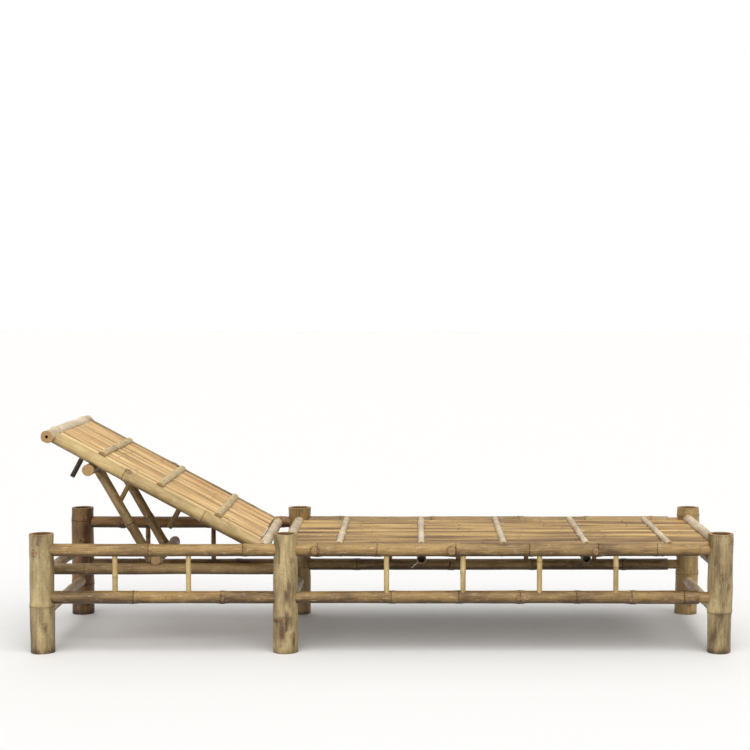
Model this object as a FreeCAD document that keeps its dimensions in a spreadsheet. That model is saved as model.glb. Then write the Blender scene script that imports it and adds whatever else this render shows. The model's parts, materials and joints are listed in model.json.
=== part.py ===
"""Bamboo sun lounger with an adjustable backrest.

Frame: X runs along the length with the foot end at +X, Y across the width with the near side at -Y,
Z up from the floor. The origin lies on the floor in the middle of the six legs' outline.
"""
import FreeCAD, Part
import os
import re
from FreeCAD import Placement, Rotation, Vector

doc = FreeCAD.newDocument("bamboo_lounger")

# Driving dimensions in millimetres and degrees
sizes = {
    "leg_spacing": 1930.0,        # head leg axis to foot leg axis
    "leg_gauge": 580.0,           # near leg axis to far leg axis
    "seat_bay": 1236.5,           # middle leg axis to foot leg axis
    "leg_height": 340.0,
    "leg_dia": 70.0,
    "leg_wall": 9.0,
    "foot_web": 12.0,             # closed node wall that a leg stands on
    "fit": 0.2,                   # gap round pieces that are fixed in one another
    "rail_dia": 36.0,
    "rail_wall": 6.0,
    "top_rail_drop": 47.0,        # leg top to the upper rails' axes
    "low_rail_z": 157.0,
    "tenon_stop": 21.0,           # leg axis to the hidden end of a rail or cross pole
    "spindle_dia": 15.0,
    "spindle_sink": 9.0,          # how far a spindle goes into a rail
    "seat_spindle_first": 288.5,
    "seat_spindle_pitch": 217.8,
    "head_spindle_first": 208.3,
    "head_spindle_pitch": 209.4,
    "cross_dia": 30.0,
    "cross_wall": 6.0,
    "low_cross_z": 108.0,
    "inner_cross_drop": 73.0,     # upper rails' axes to the inner cross poles
    "mid_seat_cross_lift": 6.0,   # above the upper rails' axes
    "foot_seat_cross_lift": 12.0,
    "under_cross_inset": 17.0,    # from the leg axis towards the seat
    "under_cross_stop": 12.0,
    "inner_rail_dia": 32.0,
    "inner_rail_wall": 5.0,
    "inner_rail_inset": 112.0,    # leg axes to the inner rails' axes, across
    "cope_start": 5.0,            # pole axis to the lips of a fish-mouth end
    "seat_lift": 11.0,            # boards' top above the upper rails' axes
    "seat_board_thick": 10.0,
    "seam": 3.0,                  # gap between boards
    "board_1_width": 32.5,        # seat boards, from the near side; the last one fills the rest
    "board_2_width": 107.0,
    "board_3_width": 102.0,
    "board_4_width": 73.0,
    "board_5_width": 64.0,
    "board_end_gap": 0.5,
    "bearer_dia": 19.0,
    "under_pole_dia": 25.0,
    "under_pole_wall": 4.2,
    "under_pole_inset": 10.0,     # long under-poles' ends to the side rails
    "under_pole_over": 12.5,      # short under-poles' ends beyond the ties
    "batten_dia": 17.0,
    "batten_inset": 2.0,
    "batten_first": 151.5,        # middle leg axis to the first batten
    "batten_pitch": 236.5,
    "wire_dia": 1.6,
    "wire_gap": 0.15,
    "hinge_back": 69.5,           # middle leg axis to the hinge axis
    "hinge_pole_dia": 33.5,
    "hinge_side_gap": 10.0,       # hinge pole's ends to the side rails
    "hinge_pin_dia": 14.0,
    "hinge_pin_grip": 45.0,       # pin length inside the hinge pole
    "hinge_pin_sink": 8.0,        # pin end beyond the side rail's axis
    "pin_play": 0.05,
    "back_angle": 28.1,           # backrest above the horizontal
    "back_side_gap": 9.0,         # backrest rails to the side rails
    "back_rail_dia": 36.0,
    "back_rail_wall": 6.0,
    "head_rail_reach": 685.8,     # hinge axis to head rail axis
    "head_rail_dia": 37.0,
    "head_rail_bore": 9.0,
    "head_rail_over": 8.0,        # head rail's ends beyond the side rails' axes
    "back_board_top": 17.0,       # above the backrest rails' axes
    "back_board_thick": 10.0,
    "back_board_1_width": 96.0,   # from the near side; the last one fills the rest
    "back_board_2_width": 128.0,
    "back_board_3_width": 112.0,
    "back_batten_dia": 18.0,
    "back_batten_over": 5.0,      # batten end beyond the boards, over the side rail
    "back_batten_first": 156.0,   # hinge axis to the first batten
    "back_batten_pitch": 188.5,
    "under_batten_dia": 24.0,
    "under_batten_sink": 9.0,
    "peg_3_back": 76.8,           # head rail axis to the peg nearest to it
    "peg_2_step": 162.0,          # from that peg to the next one
    "peg_1_step": 169.0,
    "peg_dia": 15.0,
    "peg_tip": 124.0,             # below the backrest rails' axes
    "nail_dia": 2.4,
    "nail_head_dia": 5.0,
    "nail_head_high": 0.8,
    "nail_gap": 0.05,
    "nail_stop": 1.0,             # nail point to the boards' underside
    "pivot_back": 314.0,          # hinge axis to the prop's lower bar, along the floor
    "prop_bar_dia": 29.0,
    "prop_bar_wall": 7.0,
    "prop_bar_over": 14.0,        # lower bar's ends beyond the inner rails' axes
    "saddle_depth": 4.0,          # lower bar's seat in the inner rails
    "saddle_play": 0.3,
    "loop_play": 0.4,             # wire loop round the lower bar
    "loop_sink": 13.0,            # wire loop's ends below the inner rail's top
    "crossbar_back": 66.5,        # peg nearest the head rail to the crossbar, along the backrest
    "crossbar_dia": 34.0,
    "crossbar_side_gap": 6.0,     # crossbar's ends to the side rails
    "rest_gap": 0.3,              # crossbar to the backrest rails
    "prop_leg_dia": 28.0,
    "prop_leg_wall": 6.0,
    "prop_leg_inset": 38.0,       # inner rails' axes to the prop legs' axes, across
    "prop_leg_offset": 22.5,      # leg axes to the lower bar's axis
    "prop_leg_foot": 18.0,        # leg end beyond the lower bar's axis
}
sheet = doc.addObject("Spreadsheet::Sheet", "Sizes")
for row, (alias, value) in enumerate(sizes.items(), start=1):
    sheet.set(f"A{row}", alias)
    sheet.set(f"B{row}", str(value))
    sheet.setAlias(f"B{row}", alias)
doc.recompute()

# Places that several pieces share, as formulas of the driving dimensions
HEAD_X = "-(leg_spacing / 2)"
FOOT_X = "leg_spacing / 2"
MID_X = "(leg_spacing / 2 - seat_bay)"
SIDES = {"near": "-1", "far": "1"}
TOP_RAIL_Z = "(leg_height - top_rail_drop)"
INNER_CROSS_Z = f"({TOP_RAIL_Z} - inner_cross_drop)"
RAIL_FACE_Y = "(leg_gauge / 2 - rail_dia / 2)"
SEAT_TOP_Z = f"({TOP_RAIL_Z} + seat_lift)"
BOARD_UNDER_Z = f"({SEAT_TOP_Z} - seat_board_thick)"
BEARER_Z = f"({BOARD_UNDER_Z} - fit - bearer_dia / 2)"
UNDER_POLE_Z = f"({BEARER_Z} - bearer_dia / 2 - fit - under_pole_dia / 2)"
UNDER_CROSS_Z = f"({BEARER_Z} - bearer_dia / 2 - fit - cross_dia / 2)"
SEAT_START_X = f"({MID_X} + cross_dia / 2 + board_end_gap)"
SEAT_END_X = f"({FOOT_X} - cross_dia / 2 - board_end_gap)"
SEAT_HALF_WIDTH = f"({RAIL_FACE_Y} - board_end_gap)"
HINGE_X = f"({MID_X} - hinge_back)"
HINGE_Z = TOP_RAIL_Z
HINGE_POLE_HALF = f"({RAIL_FACE_Y} - hinge_side_gap)"
INNER_RAIL_Y = "(leg_gauge / 2 - inner_rail_inset)"
PIVOT_X = f"({HINGE_X} - pivot_back)"
PIVOT_Z = f"({INNER_CROSS_Z} + inner_rail_dia / 2 - saddle_depth + saddle_play + prop_bar_dia / 2)"
PEG_3_REACH = "(head_rail_reach - peg_3_back)"
PEG_2_REACH = f"({PEG_3_REACH} - peg_2_step)"
PEG_1_REACH = f"({PEG_2_REACH} - peg_1_step)"
PEG_PLACES = [PEG_1_REACH, PEG_2_REACH, PEG_3_REACH]
CROSSBAR_REACH = f"({PEG_3_REACH} - crossbar_back)"
CROSSBAR_DROP = "(back_rail_dia / 2 + crossbar_dia / 2 + rest_gap)"
CROSSBAR_X = f"({HINGE_X} - {CROSSBAR_REACH} * cos(back_angle) - {CROSSBAR_DROP} * sin(back_angle))"
CROSSBAR_Z = f"({HINGE_Z} + {CROSSBAR_REACH} * sin(back_angle) - {CROSSBAR_DROP} * cos(back_angle))"
PROP_RUN = f"({PIVOT_X} - {CROSSBAR_X})"
PROP_RISE = f"({CROSSBAR_Z} - {PIVOT_Z})"
PROP_LEG_REACH = f"sqrt({PROP_RUN}^2 + {PROP_RISE}^2 - prop_leg_offset^2)"
PROP_ANGLE = f"(atan2({PROP_RISE}; {PROP_RUN}) + atan2(prop_leg_offset; {PROP_LEG_REACH}))"
BACK_RAIL_Y = f"({RAIL_FACE_Y} - back_side_gap - back_rail_dia / 2)"
BACK_HALF_WIDTH = f"({BACK_RAIL_Y} - back_rail_dia / 2)"
BACK_BOARD_UNDER = "(back_board_top - back_board_thick)"
UNDER_BATTEN_Z = f"({BACK_BOARD_UNDER} - fit - under_batten_dia / 2)"

# A frame is where a group's own origin sits and how far it is turned about Y
FRAMES = {
    "backrest": (HINGE_X, HINGE_Z, "back_angle"),
    "prop": (PIVOT_X, PIVOT_Z, PROP_ANGLE),
}
DIRECTIONS = {"x": Vector(1, 0, 0), "y": Vector(0, 1, 0), "z": Vector(0, 0, 1)}
parts = []


def bind(thing, prop, formula):
    """Bind a property to a formula in which every driving dimension stands under its own name."""
    def named(match):
        word = match.group(0)
        return "Sizes." + word if word in sizes else word
    thing.setExpression(prop, re.sub(r"[a-z_][a-z0-9_]*", named, str(formula)))


def place(thing, x, y, z):
    bind(thing, "Placement.Base.x", x)
    bind(thing, "Placement.Base.y", y)
    bind(thing, "Placement.Base.z", z)


def rod(dia, length, start, along="z"):
    """A solid round bar from its start point in the positive direction of one axis."""
    thing = doc.addObject("Part::Cylinder", "rod")
    bind(thing, "Radius", f"({dia}) / 2")
    bind(thing, "Height", length)
    thing.Placement = Placement(Vector(), Rotation(DIRECTIONS["z"], DIRECTIONS[along]))
    place(thing, *start)
    return thing


def block(size, corner):
    thing = doc.addObject("Part::Box", "block")
    for prop, formula in zip(("Length", "Width", "Height"), size):
        bind(thing, prop, formula)
    place(thing, *corner)
    return thing


def joined(things):
    if len(things) == 1:
        return things[0]
    whole = doc.addObject("Part::MultiFuse", "joined")
    whole.Shapes = things
    return whole


def cut(base, tools):
    result = doc.addObject("Part::Cut", "cut")
    result.Base = base
    result.Tool = joined(tools)
    return result


def grouped(things):
    group = doc.addObject("Part::Compound", "group")
    group.Links = things
    return group


def finish(label, thing, frame=None):
    """Name a finished piece and put it in its place on the lounger."""
    if frame:
        x, z, angle = FRAMES[frame]
        thing.Placement = Placement(Vector(), Rotation(DIRECTIONS["y"], 1))
        bind(thing, "Placement.Base.x", x)
        bind(thing, "Placement.Base.z", z)
        bind(thing, "Placement.Rotation.Angle", angle)
    thing.Label = label
    parts.append(thing)
    return thing


def culm(dia, wall, length, start, along, cuts=()):
    """A hollow bamboo pole, open at both ends, less any holes and saddles."""
    bore = rod(f"{dia} - 2 * {wall}", length, start, along)
    return cut(rod(dia, length, start, along), [bore, *cuts])


def leg_sockets(x, sign, rail_ways, crosses):
    """Holes in a leg for the side rails of its bays and for the cross poles."""
    y = f"{sign} * leg_gauge / 2"
    holes = []
    for z in (TOP_RAIL_Z, "low_rail_z"):
        for way in rail_ways:
            start_x = x if way == "footwards" else f"{x} - leg_dia"
            holes.append(rod("rail_dia + 2 * fit", "leg_dia", (start_x, y, z), "x"))
    for z, offset in crosses:
        start_y = f"{y} - leg_dia" if sign == "1" else y
        holes.append(rod("cross_dia + 2 * fit", "leg_dia", (f"{x} + {offset}", start_y, z), "y"))
    return holes


# Legs, each with the ways its side rails run and the heights and offsets of its cross poles
MID_SEAT_CROSS_Z = f"({TOP_RAIL_Z} + mid_seat_cross_lift)"
FOOT_SEAT_CROSS_Z = f"({TOP_RAIL_Z} + foot_seat_cross_lift)"
LEGS = {
    "head": (HEAD_X, ["footwards"], [
        (INNER_CROSS_Z, "0"),
        ("low_cross_z", "0"),
    ]),
    "mid": (MID_X, ["headwards", "footwards"], [
        (MID_SEAT_CROSS_Z, "0"),
        (UNDER_CROSS_Z, "under_cross_inset"),
        (INNER_CROSS_Z, "0"),
        ("low_cross_z", "0"),
    ]),
    "foot": (FOOT_X, ["headwards"], [
        (FOOT_SEAT_CROSS_Z, "0"),
        (UNDER_CROSS_Z, "-under_cross_inset"),
        ("low_cross_z", "0"),
    ]),
}
for leg_name, (x, rail_ways, crosses) in LEGS.items():
    for side, sign in SIDES.items():
        y = f"{sign} * leg_gauge / 2"
        stem = rod("leg_dia", "leg_height", (x, y, "0"))
        bore = rod("leg_dia - 2 * leg_wall", "leg_height", (x, y, "foot_web"))
        sockets = leg_sockets(x, sign, rail_ways, crosses)
        finish(f"{leg_name}_leg_{side}", cut(stem, [bore, *sockets]))

# Spindle places along each bay
HEAD_SPINDLES = [f"{HEAD_X} + head_spindle_first + {k} * head_spindle_pitch" for k in range(2)]
SEAT_SPINDLES = [f"{MID_X} + seat_spindle_first + {k} * seat_spindle_pitch" for k in range(4)]
BAYS = {
    "head": (HEAD_X, MID_X, HEAD_SPINDLES),
    "seat": (MID_X, FOOT_X, SEAT_SPINDLES),
}
SPINDLE_FOOT_Z = "(low_rail_z + rail_dia / 2 - spindle_sink)"
SPINDLE_LENGTH = f"({TOP_RAIL_Z} - low_rail_z - rail_dia + 2 * spindle_sink)"


def spindle(x, y, spare="0"):
    """A spindle, or with some spare the hole for one."""
    start = (x, y, f"{SPINDLE_FOOT_Z} - {spare} / 2")
    return rod(f"spindle_dia + {spare}", f"{SPINDLE_LENGTH} + {spare}", start)


# Side rails with their spindle holes
for side, sign in SIDES.items():
    y = f"{sign} * leg_gauge / 2"
    pin_hole_y = f"{y} - hinge_pin_sink" if sign == "-1" else f"{y} + hinge_pin_sink - rail_dia"
    for bay, (x_start, x_end, spindle_places) in BAYS.items():
        for level, z in (("top", TOP_RAIL_Z), ("low", "low_rail_z")):
            cuts = [spindle(x, y, "2 * fit") for x in spindle_places]
            if level == "top" and bay == "head":
                pin_hole_start = (HINGE_X, pin_hole_y, HINGE_Z)
                cuts.append(rod("hinge_pin_dia + 2 * fit", "rail_dia", pin_hole_start, "y"))
            start = (f"{x_start} + tenon_stop", y, z)
            length = f"{x_end} - tenon_stop - ({x_start} + tenon_stop)"
            finish(f"{level}_rail_{bay}_{side}", culm("rail_dia", "rail_wall", length, start, "x", cuts))
    spindles = [spindle(x, y) for _, _, places in BAYS.values() for x in places]
    finish(f"spindles_{side}", grouped(spindles))

# Cross poles from leg to leg
CROSS_POLES = {
    "head_inner_cross": (HEAD_X, INNER_CROSS_Z, "tenon_stop"),
    "head_low_cross": (HEAD_X, "low_cross_z", "tenon_stop"),
    "mid_seat_cross": (MID_X, MID_SEAT_CROSS_Z, "tenon_stop"),
    "mid_under_cross": (f"{MID_X} + under_cross_inset", UNDER_CROSS_Z, "under_cross_stop"),
    "mid_inner_cross": (MID_X, INNER_CROSS_Z, "tenon_stop"),
    "mid_low_cross": (MID_X, "low_cross_z", "tenon_stop"),
    "foot_seat_cross": (FOOT_X, FOOT_SEAT_CROSS_Z, "tenon_stop"),
    "foot_under_cross": (f"{FOOT_X} - under_cross_inset", UNDER_CROSS_Z, "under_cross_stop"),
    "foot_low_cross": (FOOT_X, "low_cross_z", "tenon_stop"),
}
for label, (x, z, stop) in CROSS_POLES.items():
    start = (x, f"-(leg_gauge / 2 - {stop})", z)
    finish(label, culm("cross_dia", "cross_wall", f"leg_gauge - 2 * {stop}", start, "y"))

# Inner rails, coped to their cross poles, with a saddle each for the prop's lower bar
LOOP_RADIUS = "(prop_bar_dia / 2 + loop_play + wire_dia / 2)"
LOOP_FOOT_Z = f"({INNER_CROSS_Z} + inner_rail_dia / 2 - loop_sink)"


def bow(radius, turn, x, y, z):
    """Half a ring of wire across X, with its back up for a turn of 90 and down for -90."""
    thing = doc.addObject("Part::Torus", "bow")
    bind(thing, "Radius1", radius)
    bind(thing, "Radius2", "wire_dia / 2")
    thing.Angle3 = 180
    thing.Placement = Placement(Vector(), Rotation(DIRECTIONS["x"], turn))
    place(thing, x, y, z)
    return thing


prop_loops = []
for side, sign in SIDES.items():
    y = f"{sign} * {INNER_RAIL_Y}"
    across = f"{y} - inner_rail_dia"
    cuts = []
    for x in (HEAD_X, MID_X):
        cuts.append(rod("cross_dia + 2 * fit", "inner_rail_dia * 2", (x, across, INNER_CROSS_Z), "y"))
    saddle_start = (PIVOT_X, across, PIVOT_Z)
    cuts.append(rod("prop_bar_dia + 2 * saddle_play", "inner_rail_dia * 2", saddle_start, "y"))
    wires = [bow(LOOP_RADIUS, 90, PIVOT_X, y, PIVOT_Z)]
    for way in ("-1", "1"):
        x = f"{PIVOT_X} + {way} * {LOOP_RADIUS}"
        wire_hole_start = (x, y, f"{LOOP_FOOT_Z} - wire_gap")
        cuts.append(rod("wire_dia + 2 * wire_gap", "inner_rail_dia", wire_hole_start))
        wires.append(rod("wire_dia", f"{PIVOT_Z} - {LOOP_FOOT_Z}", (x, y, LOOP_FOOT_Z)))
    prop_loops.append(joined(wires))
    start = (f"{HEAD_X} + cope_start", y, INNER_CROSS_Z)
    length = f"{MID_X} - cope_start - ({HEAD_X} + cope_start)"
    finish(f"inner_rail_{side}", culm("inner_rail_dia", "inner_rail_wall", length, start, "x", cuts))

# Seat boards: flattened culms side by side; those at the sides are notched round the legs
SEAT_LENGTH = f"({SEAT_END_X} - {SEAT_START_X})"
board_widths = [f"board_{k}_width" for k in range(1, 6)]


def leg_notches(sign):
    notches = []
    for x in (MID_X, FOOT_X):
        notches.append(rod("leg_dia + 2 * board_end_gap", "leg_height", (x, f"{sign} * leg_gauge / 2", "0")))
    return notches


seams = []
board_middles = []
board_y = f"-{SEAT_HALF_WIDTH}"
for number in range(1, 7):
    last = number == 6
    width = f"({SEAT_HALF_WIDTH} - ({board_y}))" if last else board_widths[number - 1]
    corner = (SEAT_START_X, board_y, BOARD_UNDER_Z)
    board = block((SEAT_LENGTH, width, "seat_board_thick"), corner)
    if number == 1:
        board = cut(board, leg_notches(SIDES["near"]))
    if last:
        board = cut(board, leg_notches(SIDES["far"]))
    finish(f"seat_board_{number}", board)
    board_middles.append(f"({board_y} + {width} / 2)")
    if not last:
        seams.append(f"({board_y} + {width} + seam / 2)")
        board_y = f"{board_y} + {width} + seam"

# Bearers under the boards: one under the first seam, which carries two boards, then one under each
# board from the third; all of them stay clear of the seams that the ties pass through
bearers = []
for y in (seams[0], *board_middles[2:]):
    bearers.append(rod("bearer_dia", SEAT_LENGTH, (SEAT_START_X, y, BEARER_Z), "x"))
finish("seat_bearers", grouped(bearers))

# Under-poles below the battens: the second and fourth reach nearly from side rail to side rail, the
# others only from tie to tie
BATTEN_PLACES = [f"({MID_X} + batten_first + {k} * batten_pitch)" for k in range(5)]
UNDER_POLE_HALF = f"({RAIL_FACE_Y} - under_pole_inset)"
NEAR_TIE_Y = seams[1]
FAR_TIE_Y = seams[4]
under_poles = []
for number, x in enumerate(BATTEN_PLACES, start=1):
    if number in (2, 4):
        start_y = f"-{UNDER_POLE_HALF}"
        length = f"2 * {UNDER_POLE_HALF}"
    else:
        start_y = f"({NEAR_TIE_Y} - under_pole_over)"
        length = f"{FAR_TIE_Y} - {NEAR_TIE_Y} + 2 * under_pole_over"
    start = (x, start_y, UNDER_POLE_Z)
    under_poles.append(culm("under_pole_dia", "under_pole_wall", length, start, "y"))
finish("under_poles", grouped(under_poles))

# Seat battens: split culms on the boards, each bound down with two wire ties through the seams
BATTEN_HALF = f"({RAIL_FACE_Y} - batten_inset)"
BATTEN_FOOT_Z = f"({SEAT_TOP_Z} + wire_gap)"


def half_round(dia, half_length, x, z):
    """A split culm along Y with its flat side down."""
    thing = rod(dia, f"2 * {half_length}", (x, f"-{half_length}", z), "y")
    thing.Placement.Rotation = Rotation(DIRECTIONS["x"], -90).multiply(Rotation(DIRECTIONS["z"], 180))
    thing.Angle = 180
    return thing


for number, x in enumerate(BATTEN_PLACES, start=1):
    finish(f"seat_batten_{number}", half_round("batten_dia", BATTEN_HALF, x, BATTEN_FOOT_Z))

TIE_RADIUS = "(under_pole_dia / 2 + wire_gap + wire_dia / 2)"
TIE_TOP_Z = f"({BATTEN_FOOT_Z} + batten_dia / 2 + wire_gap + wire_dia / 2 - {TIE_RADIUS})"


def tie(x, y):
    """A closed wire loop round a batten above and an under-pole below."""
    pieces = [bow(TIE_RADIUS, 90, x, y, TIE_TOP_Z), bow(TIE_RADIUS, -90, x, y, UNDER_POLE_Z)]
    for way in ("-1", "1"):
        start = (f"{x} + {way} * {TIE_RADIUS}", y, UNDER_POLE_Z)
        pieces.append(rod("wire_dia", f"{TIE_TOP_Z} - {UNDER_POLE_Z}", start))
    return joined(pieces)


ties = [tie(x, y) for x in BATTEN_PLACES for y in (NEAR_TIE_Y, FAR_TIE_Y)]
finish("wire_ties", grouped(ties + prop_loops))

# Hinge pins, fixed in the side rails, on which the hinge pole turns
PIN_INNER_END = f"({HINGE_POLE_HALF} - hinge_pin_grip)"
PIN_LENGTH = f"(leg_gauge / 2 + hinge_pin_sink - {PIN_INNER_END})"
hinge_pins = []
for sign in SIDES.values():
    start_y = PIN_INNER_END if sign == "1" else f"-({PIN_INNER_END} + {PIN_LENGTH})"
    hinge_pins.append(rod("hinge_pin_dia", PIN_LENGTH, (HINGE_X, start_y, HINGE_Z), "y"))
finish("hinge_pins", grouped(hinge_pins))

# Backrest, drawn flat from the hinge axis towards the head end and then tilted
hinge_start = ("0", f"-{HINGE_POLE_HALF}", "0")
hinge_bore = rod("hinge_pin_dia + 2 * pin_play", f"2 * {HINGE_POLE_HALF}", hinge_start, "y")
hinge_pole = rod("hinge_pole_dia", f"2 * {HINGE_POLE_HALF}", hinge_start, "y")
finish("hinge_pole", cut(hinge_pole, [hinge_bore]), "backrest")

HEAD_RAIL_HALF = "(leg_gauge / 2 + head_rail_over)"
head_start = ("-head_rail_reach", f"-{HEAD_RAIL_HALF}", "0")
head_bore = rod("head_rail_bore", f"2 * {HEAD_RAIL_HALF}", head_start, "y")
head_rail = rod("head_rail_dia", f"2 * {HEAD_RAIL_HALF}", head_start, "y")
finish("head_rail", cut(head_rail, [head_bore]), "backrest")

UNDER_BATTEN_HALF = f"({BACK_HALF_WIDTH} + under_batten_sink)"
for side, sign in SIDES.items():
    y = f"{sign} * {BACK_RAIL_Y}"
    across = f"{y} - back_rail_dia"
    cuts = [
        rod("hinge_pole_dia + 2 * fit", "2 * back_rail_dia", ("0", across, "0"), "y"),
        rod("head_rail_dia + 2 * fit", "2 * back_rail_dia", ("-head_rail_reach", across, "0"), "y"),
    ]
    for reach in PEG_PLACES:
        start = (f"-{reach}", f"-({UNDER_BATTEN_HALF} + fit)", UNDER_BATTEN_Z)
        cuts.append(rod("under_batten_dia + 2 * fit", f"2 * ({UNDER_BATTEN_HALF} + fit)", start, "y"))
    start = ("-(head_rail_reach - cope_start)", y, "0")
    length = "head_rail_reach - 2 * cope_start"
    rail = culm("back_rail_dia", "back_rail_wall", length, start, "x", cuts)
    finish(f"back_rail_{side}", rail, "backrest")

under_battens = []
pegs = []
PEG_LENGTH = f"(peg_tip + {UNDER_BATTEN_Z} + under_batten_dia / 2)"
for reach in PEG_PLACES:
    start = (f"-{reach}", f"-{UNDER_BATTEN_HALF}", UNDER_BATTEN_Z)
    pole = rod("under_batten_dia", f"2 * {UNDER_BATTEN_HALF}", start, "y")
    hole = rod("peg_dia + 2 * fit", f"{PEG_LENGTH} + 2 * fit", (f"-{reach}", "0", "-peg_tip - fit"))
    under_battens.append(cut(pole, [hole]))
    pegs.append(rod("peg_dia", PEG_LENGTH, (f"-{reach}", "0", "-peg_tip")))
finish("under_battens", grouped(under_battens), "backrest")
finish("prop_pegs", grouped(pegs), "backrest")

# Backrest boards and battens, nailed together
BACK_START = "(hinge_pole_dia / 2 + board_end_gap)"
BACK_END = "(head_rail_reach - head_rail_dia / 2 - board_end_gap)"
BACK_BATTENS = [f"(back_batten_first + {k} * back_batten_pitch)" for k in range(3)]
BACK_BATTEN_HALF = f"({BACK_HALF_WIDTH} + back_batten_over)"
NAIL_TOP = "(back_board_top + wire_gap + back_batten_dia / 2)"
NAIL_TIP = f"({BACK_BOARD_UNDER} + nail_stop)"
NAIL_HOLE_FOOT = f"({NAIL_TIP} - nail_gap)"
back_widths = ["back_board_1_width", "back_board_2_width", "back_board_3_width"]
nail_lines = []
board_y = f"-{BACK_HALF_WIDTH}"
for number in range(1, 5):
    last = number == 4
    width = f"({BACK_HALF_WIDTH} - ({board_y}))" if last else back_widths[number - 1]
    middle = f"({board_y} + {width} / 2)"
    nail_lines.append(middle)
    corner = (f"-{BACK_END}", board_y, BACK_BOARD_UNDER)
    board = block((f"{BACK_END} - {BACK_START}", width, "back_board_thick"), corner)
    holes = []
    for reach in BACK_BATTENS:
        hole_start = (f"-{reach}", middle, NAIL_HOLE_FOOT)
        holes.append(rod("nail_dia + 2 * nail_gap", "2 * back_board_thick", hole_start))
    finish(f"back_board_{number}", cut(board, holes), "backrest")
    board_y = f"{board_y} + {width} + seam"

nails = []
for number, reach in enumerate(BACK_BATTENS, start=1):
    batten = half_round("back_batten_dia", BACK_BATTEN_HALF, f"-{reach}", "back_board_top + wire_gap")
    holes = []
    for y in nail_lines:
        holes.append(rod("nail_dia + 2 * nail_gap", "back_batten_dia", (f"-{reach}", y, "back_board_top")))
    finish(f"back_batten_{number}", cut(batten, holes), "backrest")
    for y in nail_lines:
        # The shank runs up into the middle of the head, so that the two become one
        shank_length = f"{NAIL_TOP} - {NAIL_TIP} + nail_gap + nail_head_high / 2"
        shank = rod("nail_dia", shank_length, (f"-{reach}", y, NAIL_TIP))
        head = rod("nail_head_dia", "nail_head_high", (f"-{reach}", y, f"{NAIL_TOP} + nail_gap"))
        nails.append(joined([shank, head]))
finish("batten_nails", grouped(nails), "backrest")

# Prop, drawn along its legs from the lower bar's axis and then tilted
BAR_HALF = f"({INNER_RAIL_Y} + prop_bar_over)"
lower_bar = culm("prop_bar_dia", "prop_bar_wall", f"2 * {BAR_HALF}", ("0", f"-{BAR_HALF}", "0"), "y")
finish("prop_lower_bar", lower_bar, "prop")
CROSSBAR_HALF = f"({RAIL_FACE_Y} - crossbar_side_gap)"
crossbar_start = (f"-{PROP_LEG_REACH}", f"-{CROSSBAR_HALF}", "-prop_leg_offset")
crossbar = rod("crossbar_dia", f"2 * {CROSSBAR_HALF}", crossbar_start, "y")
finish("prop_crossbar", grouped([crossbar]), "prop")
for side, sign in SIDES.items():
    y = f"{sign} * ({INNER_RAIL_Y} - prop_leg_inset)"
    across = f"{y} - prop_leg_dia"
    top_cope_start = (f"-{PROP_LEG_REACH}", across, "-prop_leg_offset")
    cuts = [
        rod("crossbar_dia + 2 * fit", "2 * prop_leg_dia", top_cope_start, "y"),
        rod("prop_bar_dia + 2 * fit", "2 * prop_leg_dia", ("0", across, "0"), "y"),
    ]
    start = (f"-({PROP_LEG_REACH} - cope_start)", y, "-prop_leg_offset")
    length = f"{PROP_LEG_REACH} - cope_start + prop_leg_foot"
    leg = culm("prop_leg_dia", "prop_leg_wall", length, start, "x", cuts)
    finish(f"prop_leg_{side}", leg, "prop")

doc.recompute()
failed = [thing.Name for thing in doc.Objects if "Invalid" in thing.State or "Error" in thing.State]
if failed:
    raise RuntimeError(f"failed objects: {failed}")
for part in parts:
    if part.Shape.isNull() or not part.Shape.isValid():
        raise RuntimeError(f"bad shape: {part.Label}")

os.makedirs("parts", exist_ok=True)
for part in parts:
    part.Shape.exportStep(f"parts/{part.Label}.step")
print(len(parts), "nodes")
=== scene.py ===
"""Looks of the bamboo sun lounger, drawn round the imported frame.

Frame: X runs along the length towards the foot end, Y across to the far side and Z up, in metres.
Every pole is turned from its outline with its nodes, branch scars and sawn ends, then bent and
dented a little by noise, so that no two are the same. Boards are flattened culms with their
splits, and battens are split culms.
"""
import json
import math
import random
import zlib

import bmesh
import bpy
from bpy.props import FloatProperty, FloatVectorProperty, IntProperty, PointerProperty
from mathutils import Matrix, Vector, noise


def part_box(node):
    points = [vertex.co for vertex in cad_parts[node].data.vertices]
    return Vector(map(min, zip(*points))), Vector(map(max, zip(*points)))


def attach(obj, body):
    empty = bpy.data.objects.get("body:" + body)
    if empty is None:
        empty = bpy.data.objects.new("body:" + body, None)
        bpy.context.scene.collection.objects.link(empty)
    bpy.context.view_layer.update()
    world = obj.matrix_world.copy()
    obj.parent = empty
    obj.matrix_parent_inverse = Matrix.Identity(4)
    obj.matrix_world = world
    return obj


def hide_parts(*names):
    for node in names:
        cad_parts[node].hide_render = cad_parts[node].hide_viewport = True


bl_info = {
    "name": "Bamboo Sun Lounger",
    "version": (1, 0, 0),
    "blender": (4, 5, 0),
    "location": "3D View > Sidebar > Lounger",
    "description": "Dresses the frame of a bamboo sun lounger in culms, split boards, battens and ties",
    "category": "Object",
}

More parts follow.
